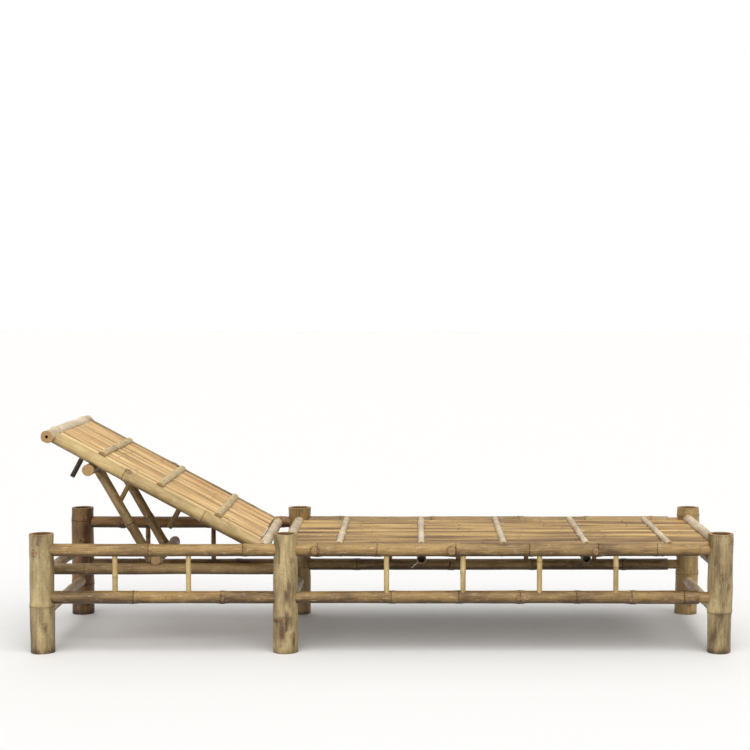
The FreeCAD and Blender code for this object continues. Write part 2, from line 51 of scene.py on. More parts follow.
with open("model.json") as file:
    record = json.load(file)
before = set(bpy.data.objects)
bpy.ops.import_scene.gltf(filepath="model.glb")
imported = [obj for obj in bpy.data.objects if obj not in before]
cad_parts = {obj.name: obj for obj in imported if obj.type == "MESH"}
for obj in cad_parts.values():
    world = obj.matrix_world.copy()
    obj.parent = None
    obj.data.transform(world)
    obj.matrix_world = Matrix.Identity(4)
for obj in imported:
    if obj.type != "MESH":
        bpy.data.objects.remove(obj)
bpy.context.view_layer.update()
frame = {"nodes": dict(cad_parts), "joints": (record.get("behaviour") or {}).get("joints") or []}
MM = 0.001
UP = Vector((0, 0, 1))
NEAR = Vector((0, -1, 0))
AXES = {"x": Vector((1, 0, 0)), "y": Vector((0, 1, 0)), "z": UP}
SIDES = ("near", "far")


def linear(hex_colour):
    """Linear colour of an sRGB hex value such as #C8A064."""
    values = [int(hex_colour[k:k + 2], 16) / 255 for k in (1, 3, 5)]
    return tuple(v / 12.92 if v <= 0.04045 else ((v + 0.055) / 1.055) ** 2.4 for v in values)


def size(name, about, value):
    """A length that the user may change, given in millimetres."""
    return FloatProperty(name=name, description=about, default=value * MM, unit="LENGTH", precision=5)


def colour(name, about, hex_colour):
    return FloatVectorProperty(name=name, description=about, default=linear(hex_colour),
                               subtype="COLOR", size=3, min=0.0, max=1.0)


class LoungerCulms(bpy.types.PropertyGroup):
    """Sizes that the poles share."""
    node_swell: size("Node swell", "Height of the ridge at a node of a side rail", 1.3)
    wobble: size("Wobble", "How far a side rail's rind waves in and out", 0.5)
    bow: size("Bow", "How far a long pole bends off its line", 2.0)
    scar_rise: size("Scar rise", "How far a trimmed branch stands out of the rind", 1.6)
    saw_edge: size("Saw edge", "Broken edge of a sawn end", 0.8)
    leg_sides: IntProperty(name="Leg sides", description="Sides of a leg's section", default=64)
    rail_sides: IntProperty(name="Rail sides", description="Sides of a side rail's section", default=56)
    pole_sides: IntProperty(name="Pole sides", description="Sides of a pole's section", default=36)


class LoungerBoards(bpy.types.PropertyGroup):
    """Sizes of the flattened culms."""
    slat: size("Slat", "Usual width between two open splits of a board", 46.0)
    strand: size("Strand", "Usual width between two fine splits of a board", 15.0)
    split: size("Split", "Widest opening of a split", 4.8)
    split_depth: size("Split depth", "Depth of a wide open split", 5.5)
    slat_crown: size("Slat crown", "Height of a slat's middle over its edges", 2.8)
    step: size("Step", "How far a slat lies above or below the next one", 1.6)
    crown: size("Crown", "Height of a strand's middle over its edges", 0.8)
    node_ridge: size("Node ridge", "Height of the flattened node across a board", 1.1)


class LoungerColours(bpy.types.PropertyGroup):
    """Two tones of each finish, and the colours of its marks."""
    straw: colour("Straw", "Rind of the near legs, lighter tone", "#C9B380")
    straw_deep: colour("Straw deep", "Rind of the near legs, deeper tone", "#5C4727")
    honey: colour("Honey", "Rind of the near side rails, lighter tone", "#AF8D53")
    honey_deep: colour("Honey deep", "Rind of the near side rails, deeper tone", "#553D1C")
    yellow: colour("Yellow", "Rind of the backrest rails, lighter tone", "#CBB077")
    yellow_deep: colour("Yellow deep", "Rind of the backrest rails, deeper tone", "#7C6032")
    tan: colour("Tan", "Rind of the prop, inner rails and spindles, lighter tone", "#A88A57")
    tan_deep: colour("Tan deep", "Rind of the prop, inner rails and spindles, deeper tone", "#574020")
    # The brown tones darken the far poles: partly their own colour, partly painted shade of the far side
    brown: colour("Brown", "Rind of the far poles, lighter tone", "#986F3A")
    brown_deep: colour("Brown deep", "Rind of the far poles, deeper tone", "#3D2710")
    pale: colour("Pale", "Bleached rind of cross poles and battens, lighter tone", "#EAD6B2")
    pale_deep: colour("Pale deep", "Bleached rind of cross poles and battens, deeper tone", "#9C8262")
    seat: colour("Seat", "Seat boards, lighter tone", "#E0B972")
    seat_deep: colour("Seat deep", "Seat boards, deeper tone", "#5F3B17")
    back: colour("Back", "Backrest boards, lighter tone", "#FFDC9A")
    back_deep: colour("Back deep", "Backrest boards, deeper tone", "#A86F34")
    peg: colour("Peg", "Whittled pegs, lighter tone", "#A8874F")
    peg_deep: colour("Peg deep", "Whittled pegs, deeper tone", "#43331D")
    sawn: colour("Sawn end", "Fresh wood of a sawn end", "#B58F5C")
    # This colour also paints the shade along a board's open splits
    ring: colour("Ring", "Dark line of a node", "#3E2A17")
    knot: colour("Knot", "Trimmed branch and its stain", "#4A2B12")
    wire: colour("Wire", "Galvanised tie wire", "#D6D0C4")
    nail: colour("Nail", "Oxidised nail", "#4C3C30")
    floor: colour("Floor", "Studio floor", "#F4F3F1")


def middle(node):
    low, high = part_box(node)
    return (low + high) / 2


HINGE = Vector(frame["joints"][0]["pos_m"])
PIVOT = Vector(frame["joints"][1]["pos_m"])
PROP_LEG_OFFSET = 22.5 * MM     # prop legs' axes to the lower bar's axis


def tilted(origin, slope):
    """Frame of a group that was drawn flat towards -X and then turned up about its own origin."""
    return Matrix.Translation(origin) @ Matrix.Rotation(slope, 4, "Y")


def slope_to(origin, target):
    return math.atan2(target.z - origin.z, origin.x - target.x)


BACK = tilted(HINGE, slope_to(HINGE, middle("head_rail")))
CROSSBAR = middle("prop_crossbar")
PROP_REACH = math.hypot(CROSSBAR.x - PIVOT.x, CROSSBAR.z - PIVOT.z)
PROP = tilted(PIVOT, slope_to(PIVOT, CROSSBAR) + math.asin(PROP_LEG_OFFSET / PROP_REACH))
LEVEL = Matrix.Identity(4)


def solids(node, group=LEVEL):
    """Corner pairs of the separate solids of a CAD node, in its group's frame, along X and then Y."""
    bm = bmesh.new()
    bm.from_mesh(frame["nodes"][node].data)
    bm.transform(group.inverted())
    bmesh.ops.remove_doubles(bm, verts=bm.verts, dist=0.01 * MM)
    left = set(bm.verts)
    boxes = []
    while left:
        reached = [left.pop()]
        for vert in reached:
            for edge in vert.link_edges:
                other = edge.other_vert(vert)
                if other in left:
                    left.discard(other)
                    reached.append(other)
        low = Vector([min(v.co[k] for v in reached) for k in range(3)])
        high = Vector([max(v.co[k] for v in reached) for k in range(3)])
        boxes.append((low, high))
    bm.free()
    return sorted(boxes, key=lambda box: (round(box[0].x, 3), round(box[0].y, 3)))


def pole_line(box, along):
    """Start, end and radius of a round solid that fills a box along one axis."""
    low, high = box
    centre = (low + high) / 2
    axis = AXES[along]
    half = axis * (high - low).dot(axis) / 2
    others = [high[k] - low[k] for k in range(3) if axis[k] == 0]
    return centre - half, centre + half, min(others) / 2


def dice(name):
    """Seeded random numbers for one piece, the same on every run."""
    return random.Random(zlib.crc32(name.encode()))


def blend_in(edge_0, edge_1, value):
    """Smooth step from 0 to 1."""
    share = min(1.0, max(0.0, (value - edge_0) / (edge_1 - edge_0)))
    return share * share * (3 - 2 * share)


def hump(distance, width):
    return math.exp(-(distance / width) ** 2)


# A node's outline along a culm: the sheath scar is a dark groove with a ridge on each side
RING_STEPS = [step * MM for step in (-16, -9, -4.5, -1.8, -0.8, 0.0, 0.8, 1.8, 3.6, 7, 11, 17)]
RING_RISE = (0.0, 0.15, 0.4, 0.75, 0.85, -0.45, 1.0, 0.45, 0.6, 0.8, 0.35, 0.0)
RING_DARK = (0.0, 0.0, 0.05, 0.2, 0.55, 1.0, 0.5, 0.2, 0.1, 0.0, 0.0, 0.0)
KNOT_PITCH = 1.8 * MM

SHAPE = {
    "rings": (),         # distances of the nodes from the start
    "knots": (),         # trimmed branches: distance, turn in degrees, radius in mm
    "necks": (),         # turned-down stretches: from, to, radius
    "waists": (),        # dents where rails enter: distance, depth in mm, turn in degrees
    "bore": 0.0,
    "bore_depth": 30 * MM,
    "swell": 1.0,        # shares of the settings for a side rail
    "wobble": 1.0,
    "bow": 0.0,
    "bow_turn": 0.0,
    "taper": 0.0,        # how much thicker the end is than the start, as a share
    "lean": 0.0,         # how far the end stands to the bow's side of the start
    "oval": 0.012,
    "sides": 0,
    "pitch": 14 * MM,
    "half": False,       # a split culm, flat below
    "flat": 1.0,         # its height as a share of its half width
    "streaks": (),       # brown stains along the grain: from, to, turn in degrees, width in mm
    "ring_dark": 0.75,
    "fresh": 1.0,        # how pale the sawn wood still is
    "tone": 0.0,         # -1 lighter to 1 deeper
    "tones": (),         # the same for each internode, from the start
    # darkening over the whole piece: dirt, and painted shade where a piece stands in shadow
    "grime": 0.0,
    "soil": 0.0,         # dirt at the start, and half as much at the end
    "seed": "culm",
}


def turned_from(turn, degrees):
    """How far a turn about a culm is from another, the short way round."""
    return (turn - math.radians(degrees) + math.pi) % math.tau - math.pi


def filled(places, pitch, least=0.0):
    """Places in rising order with more put between them, so that none is a pitch from the next."""
    spread = [places[0]]
    for place in places[1:]:
        if place - spread[-1] < least and place != places[-1]:
            continue
        start = spread[-1]
        steps = max(1, math.ceil((place - start) / pitch))
        spread += [start + (place - start) * k / steps for k in range(1, steps + 1)]
    return spread


def near_ring(s, rings):
    """Share of the swell and of the ring's darkness at a distance along a culm."""
    for ring in rings:
        offset = s - ring
        if not RING_STEPS[0] < offset < RING_STEPS[-1]:
            continue
        k = max(i for i, step in enumerate(RING_STEPS) if step <= offset)
        share = (offset - RING_STEPS[k]) / (RING_STEPS[k + 1] - RING_STEPS[k])
        rise = RING_RISE[k] + share * (RING_RISE[k + 1] - RING_RISE[k])
        dark = RING_DARK[k] + share * (RING_DARK[k + 1] - RING_DARK[k])
        return rise, dark
    return 0.0, 0.0


def stations(length, shape, edge):
    """Distances along a culm at which its outline has a point: close at nodes, knots and necks."""
    close = {edge, length - edge}
    for ring in shape["rings"]:
        close.update(ring + step for step in RING_STEPS)
    for s, _, knot_radius in shape["knots"]:
        reach = int(1.6 * knot_radius * MM / KNOT_PITCH)
        close.update(s + k * KNOT_PITCH for k in range(-reach, reach + 1))
    for neck_start, neck_end, _ in shape["necks"]:
        close.update(s + way * edge / 2 for s in (neck_start, neck_end) for way in (-1, 1))
    return filled(sorted(s for s in close if edge <= s <= length - edge), shape["pitch"], edge / 2)


def outline(length, radius, shape, swell, edge):
    """Points of a culm's outline from one end's middle to the other's: along, out, ring, inside (painted
    shade in and round the bore), sawn.
    """
    bore = shape["bore"]
    if bore:
        depth = shape["bore_depth"]
        # Painted shade of the bore: full inside it, fading across the sawn face towards the rind
        end = [(depth, 0.0, 1, 0.0), (depth, bore * 0.9, 1, 0.0), (depth * 0.9, bore, 1, 0.0),
               (depth * 0.4, bore, 1, 0.0), (edge * 2, bore, 0.8, 0.5), (edge, bore, 0.7, 1.0),
               (0.0, bore + edge, 0.6, 1.0), (0.0, bore + (radius - bore) * 0.6, 0.15, 1.0)]
    else:
        end = [(0.0, 0.0, 0, 1.0), (0.0, radius * 0.35, 0, 1.0), (0.0, radius * 0.7, 0, 1.0)]
    end.append((0.0, radius - edge, 0, 1.0))
    points = [(s, r, 0.0, inside, sawn) for s, r, inside, sawn in end]
    for s in stations(length, shape, edge):
        rise, dark = near_ring(s, shape["rings"])
        r = radius + rise * swell
        fresh = 0.0
        for neck_start, neck_end, neck_radius in shape["necks"]:
            if neck_start < s < neck_end:
                r = neck_radius
                fresh = 0.5
                dark = 0.9 * hump(s - neck_start, 2.5 * MM)
        points.append((s, r, dark, 0, fresh))
    points += [(length - s, r, 0.0, inside, sawn) for s, r, inside, sawn in reversed(end)]
    return points


def new_mesh():
    """An empty mesh that carries the pattern's own coordinates, the marks and the tone."""
    bm = bmesh.new()
    bm.verts.layers.float_vector.new("grain")
    bm.verts.layers.float_color.new("marks")
    bm.verts.layers.float.new("tone")
    return bm


def layers(bm):
    kinds = bm.verts.layers
    return kinds.float_vector["grain"], kinds.float_color["marks"], kinds.float["tone"]


def add_culm(bm, start, end, radius, **changes):
    """Turn one culm from its outline, dent it, mark it and put it between its two points.

    Turns are counted about the culm from the near side, or from the top where it lies across.
    """
    shape = {**SHAPE, **changes}
    culms = bpy.context.scene.lounger_culms
    rng = dice(shape["seed"])
    axis = end - start
    length = axis.length
    axis.normalize()
    thin = min(1.5, radius / (18 * MM))
    edge = min(culms.saw_edge, radius * 0.1)
    swell = culms.node_swell * shape["swell"] * thin
    grain, marks, tone = layers(bm)

    before = len(bm.verts)
    path = []
    for s, r, dark, inside, sawn in outline(length, radius, shape, swell, edge):
        vert = bm.verts.new((r, 0.0, s))
        vert[marks] = (dark, 0.0, inside, sawn)
        path.append(vert)
    edges = [bm.edges.new(pair) for pair in zip(path, path[1:])]
    bmesh.ops.spin(bm, geom=path + edges, cent=(0, 0, 0), axis=UP, dvec=(0, 0, 0),
                   angle=2 * math.pi, steps=shape["sides"] or culms.pole_sides, use_merge=True)
    bm.verts.ensure_lookup_table()
    turned = bm.verts[before:]

    face = UP.copy() if abs(axis.y) > 0.7 else NEAR.copy()
    face = (face - axis * face.dot(axis)).normalized()
    place = Matrix.Identity(4)
    for k, column in enumerate((face, axis.cross(face), axis)):
        place.col[k] = (*column, 0.0)
    place.translation = start

    wave = culms.wobble * shape["wobble"] * thin
    offset = Vector([rng.uniform(0, 40) for _ in range(3)])
    oval_turn = rng.uniform(0, math.pi)
    tilt = rng.uniform(-1.0, 1.0) * MM * thin
    tilt_turn = rng.uniform(0, math.tau)
    internodes = [shape["tone"] + rng.uniform(-1.0, 1.0) for _ in range(len(shape["rings"]) + 1)]
    internodes[:len(shape["tones"])] = shape["tones"]
    girths = [rng.uniform(-0.45, 0.45) * MM * thin for _ in internodes]
    bow_x = math.cos(shape["bow_turn"])
    bow_y = math.sin(shape["bow_turn"])
    for vert in turned:
        x, y, s = vert.co
        out = math.hypot(x, y)
        turn = math.atan2(y, x)
        ring, _, inside, sawn = vert[marks]
        share = out / radius
        cut_end = sawn
        around = Vector((math.cos(turn) * 1.6, math.sin(turn) * 1.6, s * 9)) + offset * 2
        ring *= shape["ring_dark"] * (0.75 + 0.9 * noise.noise(around))
        sawn *= shape["fresh"]
        along = s / length
        wobble = noise.noise(Vector((math.cos(turn) * 1.2, math.sin(turn) * 1.2, s * 11)) + offset)
        slow = noise.noise(Vector((math.cos(turn) * 0.7, math.sin(turn) * 0.7, s * 3)) - offset)
        grow = radius * (shape["oval"] * math.cos(2 * (turn - oval_turn)) + shape["taper"] * (along - 0.5))
        grow += wave * (wobble + 1.4 * slow)
        passed = sum(1 for ring_s in shape["rings"] if ring_s < s)
        if shape["wobble"]:
            grow += girths[passed]
        knotted = 0.0
        fresh = 0.0
        if share > 0.75 and not cut_end and not inside:
            for s_knot, knot_turn, knot_radius in shape["knots"]:
                size_knot = knot_radius * MM
                apart = turned_from(turn, knot_turn)
                across = apart * radius
                far = math.hypot(across, (s - s_knot) * 0.9) / size_knot
                halo = math.hypot(across, (s - s_knot) * 0.4) / size_knot
                if far > 4:
                    continue
                ragged = noise.noise(Vector((apart * 4, s * 200, 3)) + offset)
                far *= 1 + 0.3 * ragged
                big = min(1.0, knot_radius / 9)
                grow += culms.scar_rise * big * (1 - blend_in(0.7, 1.6, far))
                grow += culms.scar_rise * big * 0.7 * hump(s - s_knot, 15 * MM)
                grow -= culms.scar_rise * 0.8 * hump(far, 0.4) * (1.0 if knot_radius < 9 else 0.4)
                rim = (0.85 + 0.8 * ragged) * hump(far - 1.05, 0.25)
                heart = 1.0 if knot_radius < 9 else 0.25
                knotted = max(knotted, heart * hump(far, 0.36), rim, 0.35 * hump(halo, 1.3))
                fresh = max(fresh, 0.8 * (1 - blend_in(0.7, 1.0, far)))
                ring *= 1 - hump(far, 0.9)
            for streak_start, streak_end, streak_turn, wide in shape["streaks"]:
                apart = turned_from(turn, streak_turn)
                wander = 4 * MM * noise.noise(Vector((s * 16, streak_turn, 1)) + offset)
                reach = hump(apart * radius - wander, wide * MM)
                begun = blend_in(streak_start, streak_start + 12 * MM, s)
                left = 1 - blend_in(streak_end - 25 * MM, streak_end, s)
                blot = 0.95 + 1.1 * noise.noise(Vector((turn * 3, s * 30, 7)) + offset)
                knotted = max(knotted, reach * (begun * left) * blot)
            for s_waist, depth, waist_turn in shape["waists"]:
                facing = max(0.0, math.cos(turn - math.radians(waist_turn)))
                grow -= depth * MM * facing ** 2 * hump(s - s_waist, 24 * MM)
        scale = 1 + grow * share / out if out > 1e-6 else 1.0
        near = max([hump(s - ring_s, 20 * MM) for ring_s in shape["rings"]], default=0.0)
        s += tilt * near * math.cos(turn - tilt_turn)
        lift = shape["bow"] * culms.bow * math.sin(math.pi * along) + shape["lean"] * along
        local = Vector((x * scale + lift * bow_x, y * scale + lift * bow_y, s))
        if shape["half"]:
            local.x *= 0.02 if local.x < 0 else shape["flat"]
        dirt = shape["soil"] * max(hump(s, 14 * MM), 0.5 * hump(length - s, 8 * MM)) * (0.8 + 0.8 * wobble)
        # One mark darkens the rind: painted shade in and round the bore, grime over the piece and dirt at its
        # ends
        inside = max(inside, shape["grime"], dirt)
        vert[grain] = Vector((x, y, s)) + offset
        vert[tone] = internodes[passed]
        vert[marks] = (max(0.0, ring), min(1.0, knotted), inside, max(sawn, fresh))
        vert.co = place @ local


UNDERSIDE_SHADE_LIMIT = 0.25      # normal's upward share above which a face gets no painted shade; below it the shade grows as the face turns down
SHARP = math.radians(42)


def finish(bm, name, body, look, nodes, group=LEVEL):
    """Close a mesh, paint shade on its undersides and hand it over as a piece that stands for CAD nodes."""
    if group is not LEVEL:
        bm.transform(group)
    bmesh.ops.remove_doubles(bm, verts=bm.verts, dist=0.002 * MM)
    bmesh.ops.recalc_face_normals(bm, faces=bm.faces)
    bm.normal_update()
    marks = layers(bm)[1]
    for vert in bm.verts:
        ring, knotted, dirt_and_shade, sawn = vert[marks]
        # Painted shade: faces turned down are darkened, standing in for the light from above that misses them
        underside_shade = 1 - blend_in(-0.9, UNDERSIDE_SHADE_LIMIT, vert.normal.z)
        vert[marks] = (ring, knotted, max(dirt_and_shade, underside_shade * 0.8), sawn)
    for edge in bm.edges:
        edge.smooth = len(edge.link_faces) != 2 or edge.calc_face_angle() < SHARP
    for face in bm.faces:
        face.smooth = True
    mesh = bpy.data.meshes.new(name)
    bm.to_mesh(mesh)
    bm.free()
    mesh.materials.append(finish_named(look))
    piece = bpy.data.objects.new(name, mesh)
    bpy.context.scene.collection.objects.link(piece)
    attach(piece, body)
    if nodes:
        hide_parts(*nodes)
    return piece


def random_rings(name, length, pitch=270 * MM, first=None):
    """Distances of the nodes of a culm, a little uneven, as they grow."""
    rng = dice(name + " nodes")
    s = pitch * rng.uniform(0.3, 0.9) if first is None else first
    rings = []
    while s < length - 25 * MM:
        rings.append(s)
        s += pitch * rng.uniform(0.82, 1.15)
    return rings


def dress_pole(node, body, look, along, group=LEVEL, pitch=270 * MM, changes=None):
    """One piece for a CAD node of one or more poles, with a shape for all or one for each."""
    bm = new_mesh()
    for number, box in enumerate(solids(node, group)):
        start, end, radius = pole_line(box, along)
        shape = {"seed": f"{node} {number}"}
        shape["rings"] = random_rings(shape["seed"], (end - start).length, pitch)
        extra = changes[number] if isinstance(changes, list) else changes
        shape.update(extra or {})
        add_culm(bm, start, end, radius, **shape)
    return finish(bm, node, body, look, [node], group)


def add_node(tree, kind, settings=None, links=None):
    """Add a node, set its own values and its free sockets, and link the others."""
    node = tree.nodes.new(kind)
    for name, value in (settings or {}).items():
        if isinstance(name, str) and hasattr(node, name):
            setattr(node, name, value)
        else:
            node.inputs[name].default_value = value
    for name, socket in (links or {}).items():
        tree.links.new(socket, node.inputs[name])
    return node


MIX_FACTOR = 0      # sockets of a colour mix
MIX_A = 6
MIX_B = 7
MIX_RESULT = 2


def paint_over(tree, under, over, value, low=0.0, high=1.0, most=1.0):
    """Lay one colour over another: none of it where a value is low, most of it where it is high."""
    share = add_node(tree, "ShaderNodeMapRange", {"From Min": low, "From Max": high, "To Max": most},
                     {"Value": value})
    settings = {"data_type": "RGBA"}
    links = {MIX_FACTOR: share.outputs[0]}
    for index, part in ((MIX_A, under), (MIX_B, over)):
        if isinstance(part, bpy.types.NodeSocket):
            links[index] = part
        else:
            settings[index] = (*part, 1.0)
    return add_node(tree, "ShaderNodeMix", settings, links).outputs[MIX_RESULT]


def weighed(tree, *patterns):
    """Patterns added up, each with its weight."""
    total = None
    for pattern, weight in patterns:
        links = {0: pattern} if total is None else {0: pattern, 2: total}
        settings = {"operation": "MULTIPLY_ADD", 1: weight, 2: 0.0}
        total = add_node(tree, "ShaderNodeMath", settings, links).outputs[0]
    return total


def make_dull(tree, shader, value, low, high, rough):
    """Roughness that goes from its first value to its second as a pattern rises."""
    settings = {"From Min": low, "From Max": high, "To Min": rough[0], "To Max": rough[1]}
    spread = add_node(tree, "ShaderNodeMapRange", settings, {"Value": value})
    tree.links.new(spread.outputs[0], shader.inputs["Roughness"])


def new_finish(name):
    material = bpy.data.materials.new(name)
    material.use_nodes = True
    tree = material.node_tree
    tree.nodes.clear()
    output = add_node(tree, "ShaderNodeOutputMaterial")
    shader = add_node(tree, "ShaderNodeBsdfPrincipled")
    tree.links.new(shader.outputs[0], output.inputs["Surface"])
    return material, tree, shader


def grain_noise(tree, grain, across, along, detail=3.0, roughness=0.55):
    """Noise drawn out along the grain: its size across and along, in millimetres."""
    scaled = add_node(tree, "ShaderNodeMapping", {
        "vector_type": "POINT",
        "Scale": (1 / (across * MM), 1 / (across * MM), 1 / (along * MM)),
    }, {"Vector": grain})
    return add_node(tree, "ShaderNodeTexNoise", {"Scale": 1.0, "Detail": detail, "Roughness": roughness},
                    {"Vector": scaled.outputs[0]}).outputs[0]


def dimmed(value, share):
    return tuple(part * share for part in value)


def bamboo(name, tones, fibre=2.6, fibre_length=70, streaky=0.95, mottled=1.1, specked=0.8,
           cloud=(24, 60), scuffed=0.4, lined=0.4, rough=(0.42, 0.6), relief=0.45):
    """Bamboo in two tones: long fibres, cloudy ageing, specks of mould, dark nodes, pale sawn ends, and dirt
    with painted shade on undersides, in bores and in splits.

    The fibres of real bamboo are about half a millimetre across. They are drawn two to three
    millimetres wide here, so that they show from a step away.
    """
    colours = bpy.context.scene.lounger_colours
    light = getattr(colours, tones)
    deep = getattr(colours, tones + "_deep")
    material, tree, shader = new_finish(name)
    grain = add_node(tree, "ShaderNodeAttribute", {"attribute_name": "grain"}).outputs["Vector"]
    tone = add_node(tree, "ShaderNodeAttribute", {"attribute_name": "tone"}).outputs["Fac"]
    marks = add_node(tree, "ShaderNodeAttribute", {"attribute_name": "marks"})
    ring, knot, dirt_and_shade = add_node(tree, "ShaderNodeSeparateColor", {}, {0: marks.outputs["Color"]}).outputs
    sawn = marks.outputs["Alpha"]

    fibres = grain_noise(tree, grain, fibre, fibre_length)
    clouds = grain_noise(tree, grain, *cloud, detail=4.0, roughness=0.6)
    drifts = grain_noise(tree, grain, 60, 240, detail=1.0)
    specks = grain_noise(tree, grain, 3.5, 6, detail=2.0)
    scuffs = grain_noise(tree, grain, 7, 30, detail=5.0, roughness=0.7)
    pith = grain_noise(tree, grain, 1.4, 60, detail=1.0)

    # The third mark deepens the colour: grime and dirt, and painted shade on undersides, in bores and in
    # board splits
    depth = weighed(tree, (clouds, mottled), (fibres, streaky), (drifts, 0.9), (tone, 0.16), (dirt_and_shade, 0.5))
    usual = (mottled + streaky + 0.9) / 2
    base = paint_over(tree, light, deep, depth, usual - 0.34, usual + 0.5)
    # The darkest layer lays that dirt and painted shade; the ring colour paints node lines and the shade
    # along board splits
    layers = ((colours.pale, scuffs, 0.57, 0.7, scuffed), (dimmed(deep, 0.6), pith, 0.58, 0.68, lined),
              (dimmed(deep, 0.4), specks, 0.63, 0.72, specked), (dimmed(deep, 0.3), dirt_and_shade, 0.35, 1.0, 0.8),
              (colours.ring, ring, 0.05, 1.0, 0.8))
    for layer in layers:
        base = paint_over(tree, base, *layer)
    wood = paint_over(tree, colours.sawn, dimmed(colours.sawn, 0.55), pith, 0.4, 0.62)
    base = paint_over(tree, base, wood, sawn)
    base = paint_over(tree, base, colours.knot, knot, 0.1, 1.0, 0.85)
    tree.links.new(base, shader.inputs["Base Color"])

    worn = weighed(tree, (clouds, 0.7), (sawn, 0.5), (scuffs, 0.3))
    make_dull(tree, shader, worn, 0.25, 0.95, rough)
    height = weighed(tree, (fibres, 0.5), (scuffs, 0.5), (pith, 0.35))
    bump = add_node(tree, "ShaderNodeBump", {"Strength": relief, "Distance": 0.8 * MM}, {"Height": height})
    tree.links.new(bump.outputs[0], shader.inputs["Normal"])
    shader.inputs["IOR"].default_value = 1.5


def steel(name, tones, patch, clean, dark, rough, metallic):
    """Bare mild steel, aged in patches of a size in millimetres: darker and duller where it has aged."""
    bright = getattr(bpy.context.scene.lounger_colours, tones)
    _, tree, shader = new_finish(name)
    place = add_node(tree, "ShaderNodeTexCoord").outputs["Object"]
    settings = {"Scale": 1 / (patch * MM), "Detail": 3.0}
    bloom = add_node(tree, "ShaderNodeTexNoise", settings, {"Vector": place}).outputs[0]
    base = paint_over(tree, bright, dimmed(bright, dark), bloom, clean, clean + 0.25)
    tree.links.new(base, shader.inputs["Base Color"])
    make_dull(tree, shader, bloom, 0.3, 0.7, rough)
    shader.inputs["Metallic"].default_value = metallic


BOARD_FACE = {"fibre": 2.5, "streaky": 1.3, "rough": (0.5, 0.72), "scuffed": 0.2, "relief": 0.6}

# Each finish: what makes it, its tones and what differs from plain rind
FINISHES = {
    # Rind of the near legs, bleached by the sun: pale and smooth, in soft blots, with a satin sheen
    "straw_bamboo_rind": (bamboo, "straw", {"fibre": 3.2, "fibre_length": 110, "streaky": 0.5, "mottled": 1.4,
                                            "cloud": (22, 90), "lined": 0.15}),
    # Rind of the near rails: warm and fibrous, with scuffs, and a satin sheen along the top
    "honey_bamboo_rind": (bamboo, "honey", {}),
    # Rind of younger culms: greenish yellow, clean and even
    "yellow_bamboo_rind": (bamboo, "yellow", {"specked": 0.3}),
    # Rind of older culms: tan, streaked and specked
    "tan_bamboo_rind": (bamboo, "tan", {}),
    # Rind of the far poles: brown, hardly scuffed; its darkness is partly their own colour and partly painted
    # shade of the far side
    "brown_bamboo_rind": (bamboo, "brown", {"scuffed": 0.2}),
    # Rind scraped and bleached: cream, almost without streaks, and a little duller
    "pale_bamboo_rind": (bamboo, "pale", {"streaky": 0.25, "rough": (0.45, 0.65)}),
    # Culms split and rolled flat, the rind worn off: long golden and brown fibres, dry and matt
    "flattened_bamboo_seat": (bamboo, "seat", {**BOARD_FACE, "fibre_length": 200, "cloud": (10, 260)}),
    "flattened_bamboo_back": (bamboo, "back", {**BOARD_FACE, "fibre_length": 180, "cloud": (9, 200)}),
    # Culm wood whittled with a knife: short fibres, rough and quite matt
    "whittled_bamboo": (bamboo, "peg", {"fibre": 2.0, "fibre_length": 40, "rough": (0.6, 0.8),
                                        "relief": 0.6}),
    # Wire drawn, galvanised and weathered: light grey with a soft sheen
    "galvanised_tie_wire": (steel, "wire", {"patch": 4, "clean": 0.45, "dark": 0.4, "rough": (0.35, 0.6),
                                            "metallic": 0.85}),
    # Wire nails oxidised brown: dark and matt, brighter where the hammer met them
    "oxidised_nail_steel": (steel, "nail", {"patch": 1.5, "clean": 0.4, "dark": 0.35, "rough": (0.45, 0.8),
                                            "metallic": 0.6}),
}


def finish_named(name):
    if name not in bpy.data.materials:
        make, tones, changes = FINISHES[name]
        make(name, tones, **changes)
    return bpy.data.materials[name]


# Marks of the near and far poles as the real ones have them: distances in millimetres up a leg, or
# places in millimetres along X on a rail, then the turn in degrees and the radius of each scar
LEG_RINGS = {
    "head_near": (133,), "mid_near": (), "foot_near": (116,),
    "head_far": (96, 300), "mid_far": (150,), "foot_far": (128, 318),
}
LEG_KNOTS = {
    "head_near": ((288, -26, 8), (82, 24, 6)),
    "mid_near": ((99, 4, 9), (268, 38, 6), (52, 40, 7)),
    "foot_near": ((192, 36, 6), (226, 0, 4), (320, 52, 7)),
    "head_far": ((240, 10, 7),), "mid_far": ((300, -30, 6),), "foot_far": ((230, 20, 5),),
}
LEG_STREAKS = {
    "head_near": ((305, 336, -14, 4), (318, 338, 5, 3), (312, 338, 30, 3), (60, 100, 26, 3)),
    "mid_near": ((12, 118, -16, 11), (86, 195, 9, 8), (82, 114, -50, 24), (125, 220, 24, 4),
                 (250, 330, -30, 3), (14, 62, 46, 4), (56, 122, 16, 13)),
    "foot_near": ((200, 232, 2, 3), (300, 338, 60, 4), (30, 80, -40, 5)),
    "head_far": ((20, 300, 20, 14),), "mid_far": ((30, 160, -10, 9),), "foot_far": ((20, 60, 10, 6),),
}
